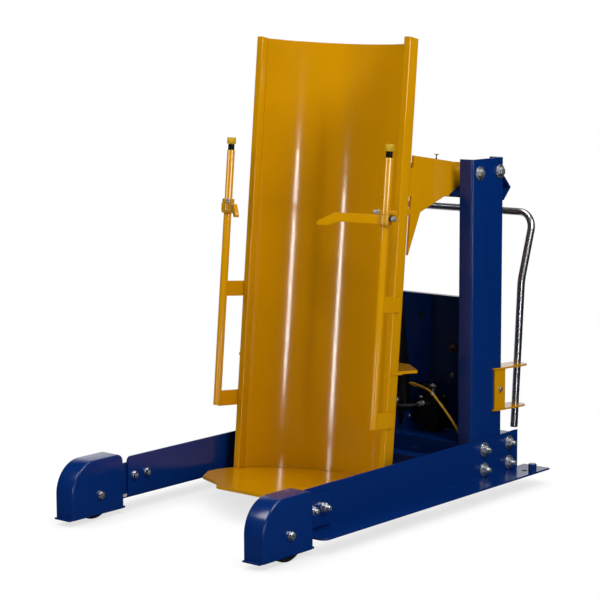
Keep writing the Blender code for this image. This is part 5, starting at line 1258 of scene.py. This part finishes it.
def smooth_path(points, steps):
    """Points on a smooth curve through given ones."""
    points = [Vector(p) for p in points]
    ends = [points[0] * 2.0 - points[1], *points, points[-1] * 2.0 - points[-2]]
    path = []
    for i in range(1, len(ends) - 2):
        a, b, c, d = ends[i - 1:i + 3]
        for k in range(steps):
            t = k / steps
            path.append(0.5 * (2.0 * b + (c - a) * t + (2.0 * a - 5.0 * b + 4.0 * c - d) * t ** 2
                               + (3.0 * b - a - 3.0 * c + d) * t ** 3))
    path.append(points[-1])
    return path


# The cable's route in machine coordinates, from the plug on the valve to the gland in the deck
CABLE_POINTS = (
    (0.0687, 0.5875, 0.3225),
    (0.0547, 0.5875, 0.3225),
    (0.0427, 0.5815, 0.3275),
    (0.0377, 0.5675, 0.3345),
    (0.0427, 0.5535, 0.3395),
    (0.0567, 0.5465, 0.3415),
    (0.0807, 0.5415, 0.3405),
    (0.124, 0.522, 0.337),
    (0.152, 0.508, 0.336),
    (0.178, 0.498, 0.330),
    (0.208, 0.491, 0.309),
    (0.246, 0.485, 0.277),
    (0.274, 0.483, 0.249),
    (0.298, 0.482, 0.221),
    (0.310, 0.482, 0.2018),
    (0.310, 0.482, 0.1868),
)


def make_hose():
    """The pressure hose in one bend from the cylinder's port to the valve block."""
    first = MOUTH + LEAN_FACING * 0.006
    bend = OUTLET_X / 2.0
    path = [MOUTH.copy(), first]
    for x, y in arc((bend, first.y - 0.006), bend, pi, 2.0 * pi, 24):
        path.append(Vector((x, y, first.z + (MOUTH.z - first.z) * x / OUTLET_X)))
    path.append(Vector((OUTLET_X, VALVE_FRONT - 0.0153, MOUTH.z)))
    path = [MACHINE @ p for p in path]
    shape = bmesh.new()
    along_path(shape, path, 0.0060, 20)
    hose = settle("hose_line", shape, "rubber", None)
    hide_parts("pressure_hose")
    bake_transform(hose)
    ferrule = mm((6.1, 0), (8.2, 0), (8.4, 6), (8, 6.6), (8.4, 7.2), (8.4, 12.6), (7.4, 15), (6.1, 15.4))
    ends = (("port", "barrel", path[0], path[2]), ("valve", "frame", path[-1], path[-2]))
    for name, body, end, inner in ends:
        ring = turned(ferrule, 32, pointing(end, inner - end), True)
        settle("hose_ferrule_" + name, ring, "zinc", body, None)


def make_cable():
    """The power cable with its tie, the sleeve at its plug and the gland in the deck."""
    path = [MACHINE @ p for p in smooth_path(CABLE_POINTS, 3)]
    shape = bmesh.new()
    along_path(shape, path, 0.0043, 20)
    cable = settle("cable_line", shape, "yellow_jacket", "frame")
    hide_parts("power_cable")
    tie_x = 0.186
    tie_at = min(range(len(path)), key=lambda i: abs(path[i].x - tie_x))
    place = pointing(path[tie_at], path[tie_at + 1] - path[tie_at - 1])
    band = bmesh.new()
    lathe(band, mm((4.6, -2.4), (5.8, -2.4), (5.8, 2.4), (4.6, 2.4)), 32, place, True)
    low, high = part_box("cable_tie")
    tail_end = Vector((low.x + 0.001, (low.y + high.y) / 2.0, high.z - 0.001))
    start = path[tie_at] + (tail_end - path[tie_at]).normalized() * 0.0050
    along_path(band, [start, start.lerp(tail_end, 0.5), tail_end], (0.0022, 0.0019, 0.0015), 10, 0.3)
    tie = settle("tie_band", band, "white_plastic", "frame")
    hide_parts("cable_tie")
    relief = bmesh.new()
    along_path(relief, path[:5], (0.0062, 0.0057, 0.0052, 0.0048, 0.0045), 20)
    settle("cable_relief", relief, "tank", "frame", None)
    gland = bmesh.new()
    here = spot(*DECK_GLAND, DECK_TOP)
    prism(gland, hexagon(0.0138), 0.0, 0.0070, here, 0.0006)
    lathe(gland, mm((4.4, 6.8), (6.8, 6.8), (6.6, 11), (5.6, 13.4), (4.5, 14)), 24, here, True)
    settle("deck_gland", gland, "tank", "frame", None)


# Carried-over solids, by the finish that they get

CAD_FINISH = {
    "blue_paint": ("leg", "column", "rear_tie_angle", "wheel_bracket", "rear_panel", "stop_bar",
                   "cylinder_bracket"),
    "yellow_paint": ("foot_plate", "back_rib", "tilt_arm", "cross_beam", "cylinder_lugs"),
    "cast_iron": ("pivot_bearing",),
    "steel": ("caster_plate", "pivot_shaft"),
    "zinc": ("caster_fork",),
    "tank": ("hydraulic_tank",),
}


def dress_solids():
    """The solids that stay get their finish, with faces joined up so that curves shade smoothly."""
    finish_of = {stem: finish for finish, stems in CAD_FINISH.items() for stem in stems}
    for name, node in NODES.items():
        if node.hide_render:
            continue
        stem = name.removesuffix("_right").removesuffix("_left")
        node.data.materials.clear()
        node.data.materials.append(PAINT[finish_of[stem]])
        node.data.shade_smooth()
        merge = node.modifiers.new("merge", "WELD")
        merge.merge_threshold = 0.000005
        split = node.modifiers.new("split", "EDGE_SPLIT")
        split.split_angle = SMOOTH_ANGLE


make_camera()
make_light()
make_world()
make_floor()
make_hose()
make_cable()
make_wheel_covers()
make_wheels()
make_caster_details()
make_leg_bolts()
make_column_bolts()
make_handle()
make_deck()
make_handle_brackets()
make_handle_bracket_details()
make_panel_details()
make_stop_details()
make_chute()
make_rails()
make_carriage_welds()
make_posts()
make_clamps()
make_wing_screw()
make_barrel()
make_rod_and_pin()
make_tank_details()
make_motor()
make_valve()
dress_solids()

bpy.context.scene.view_settings.view_transform = "Standard"
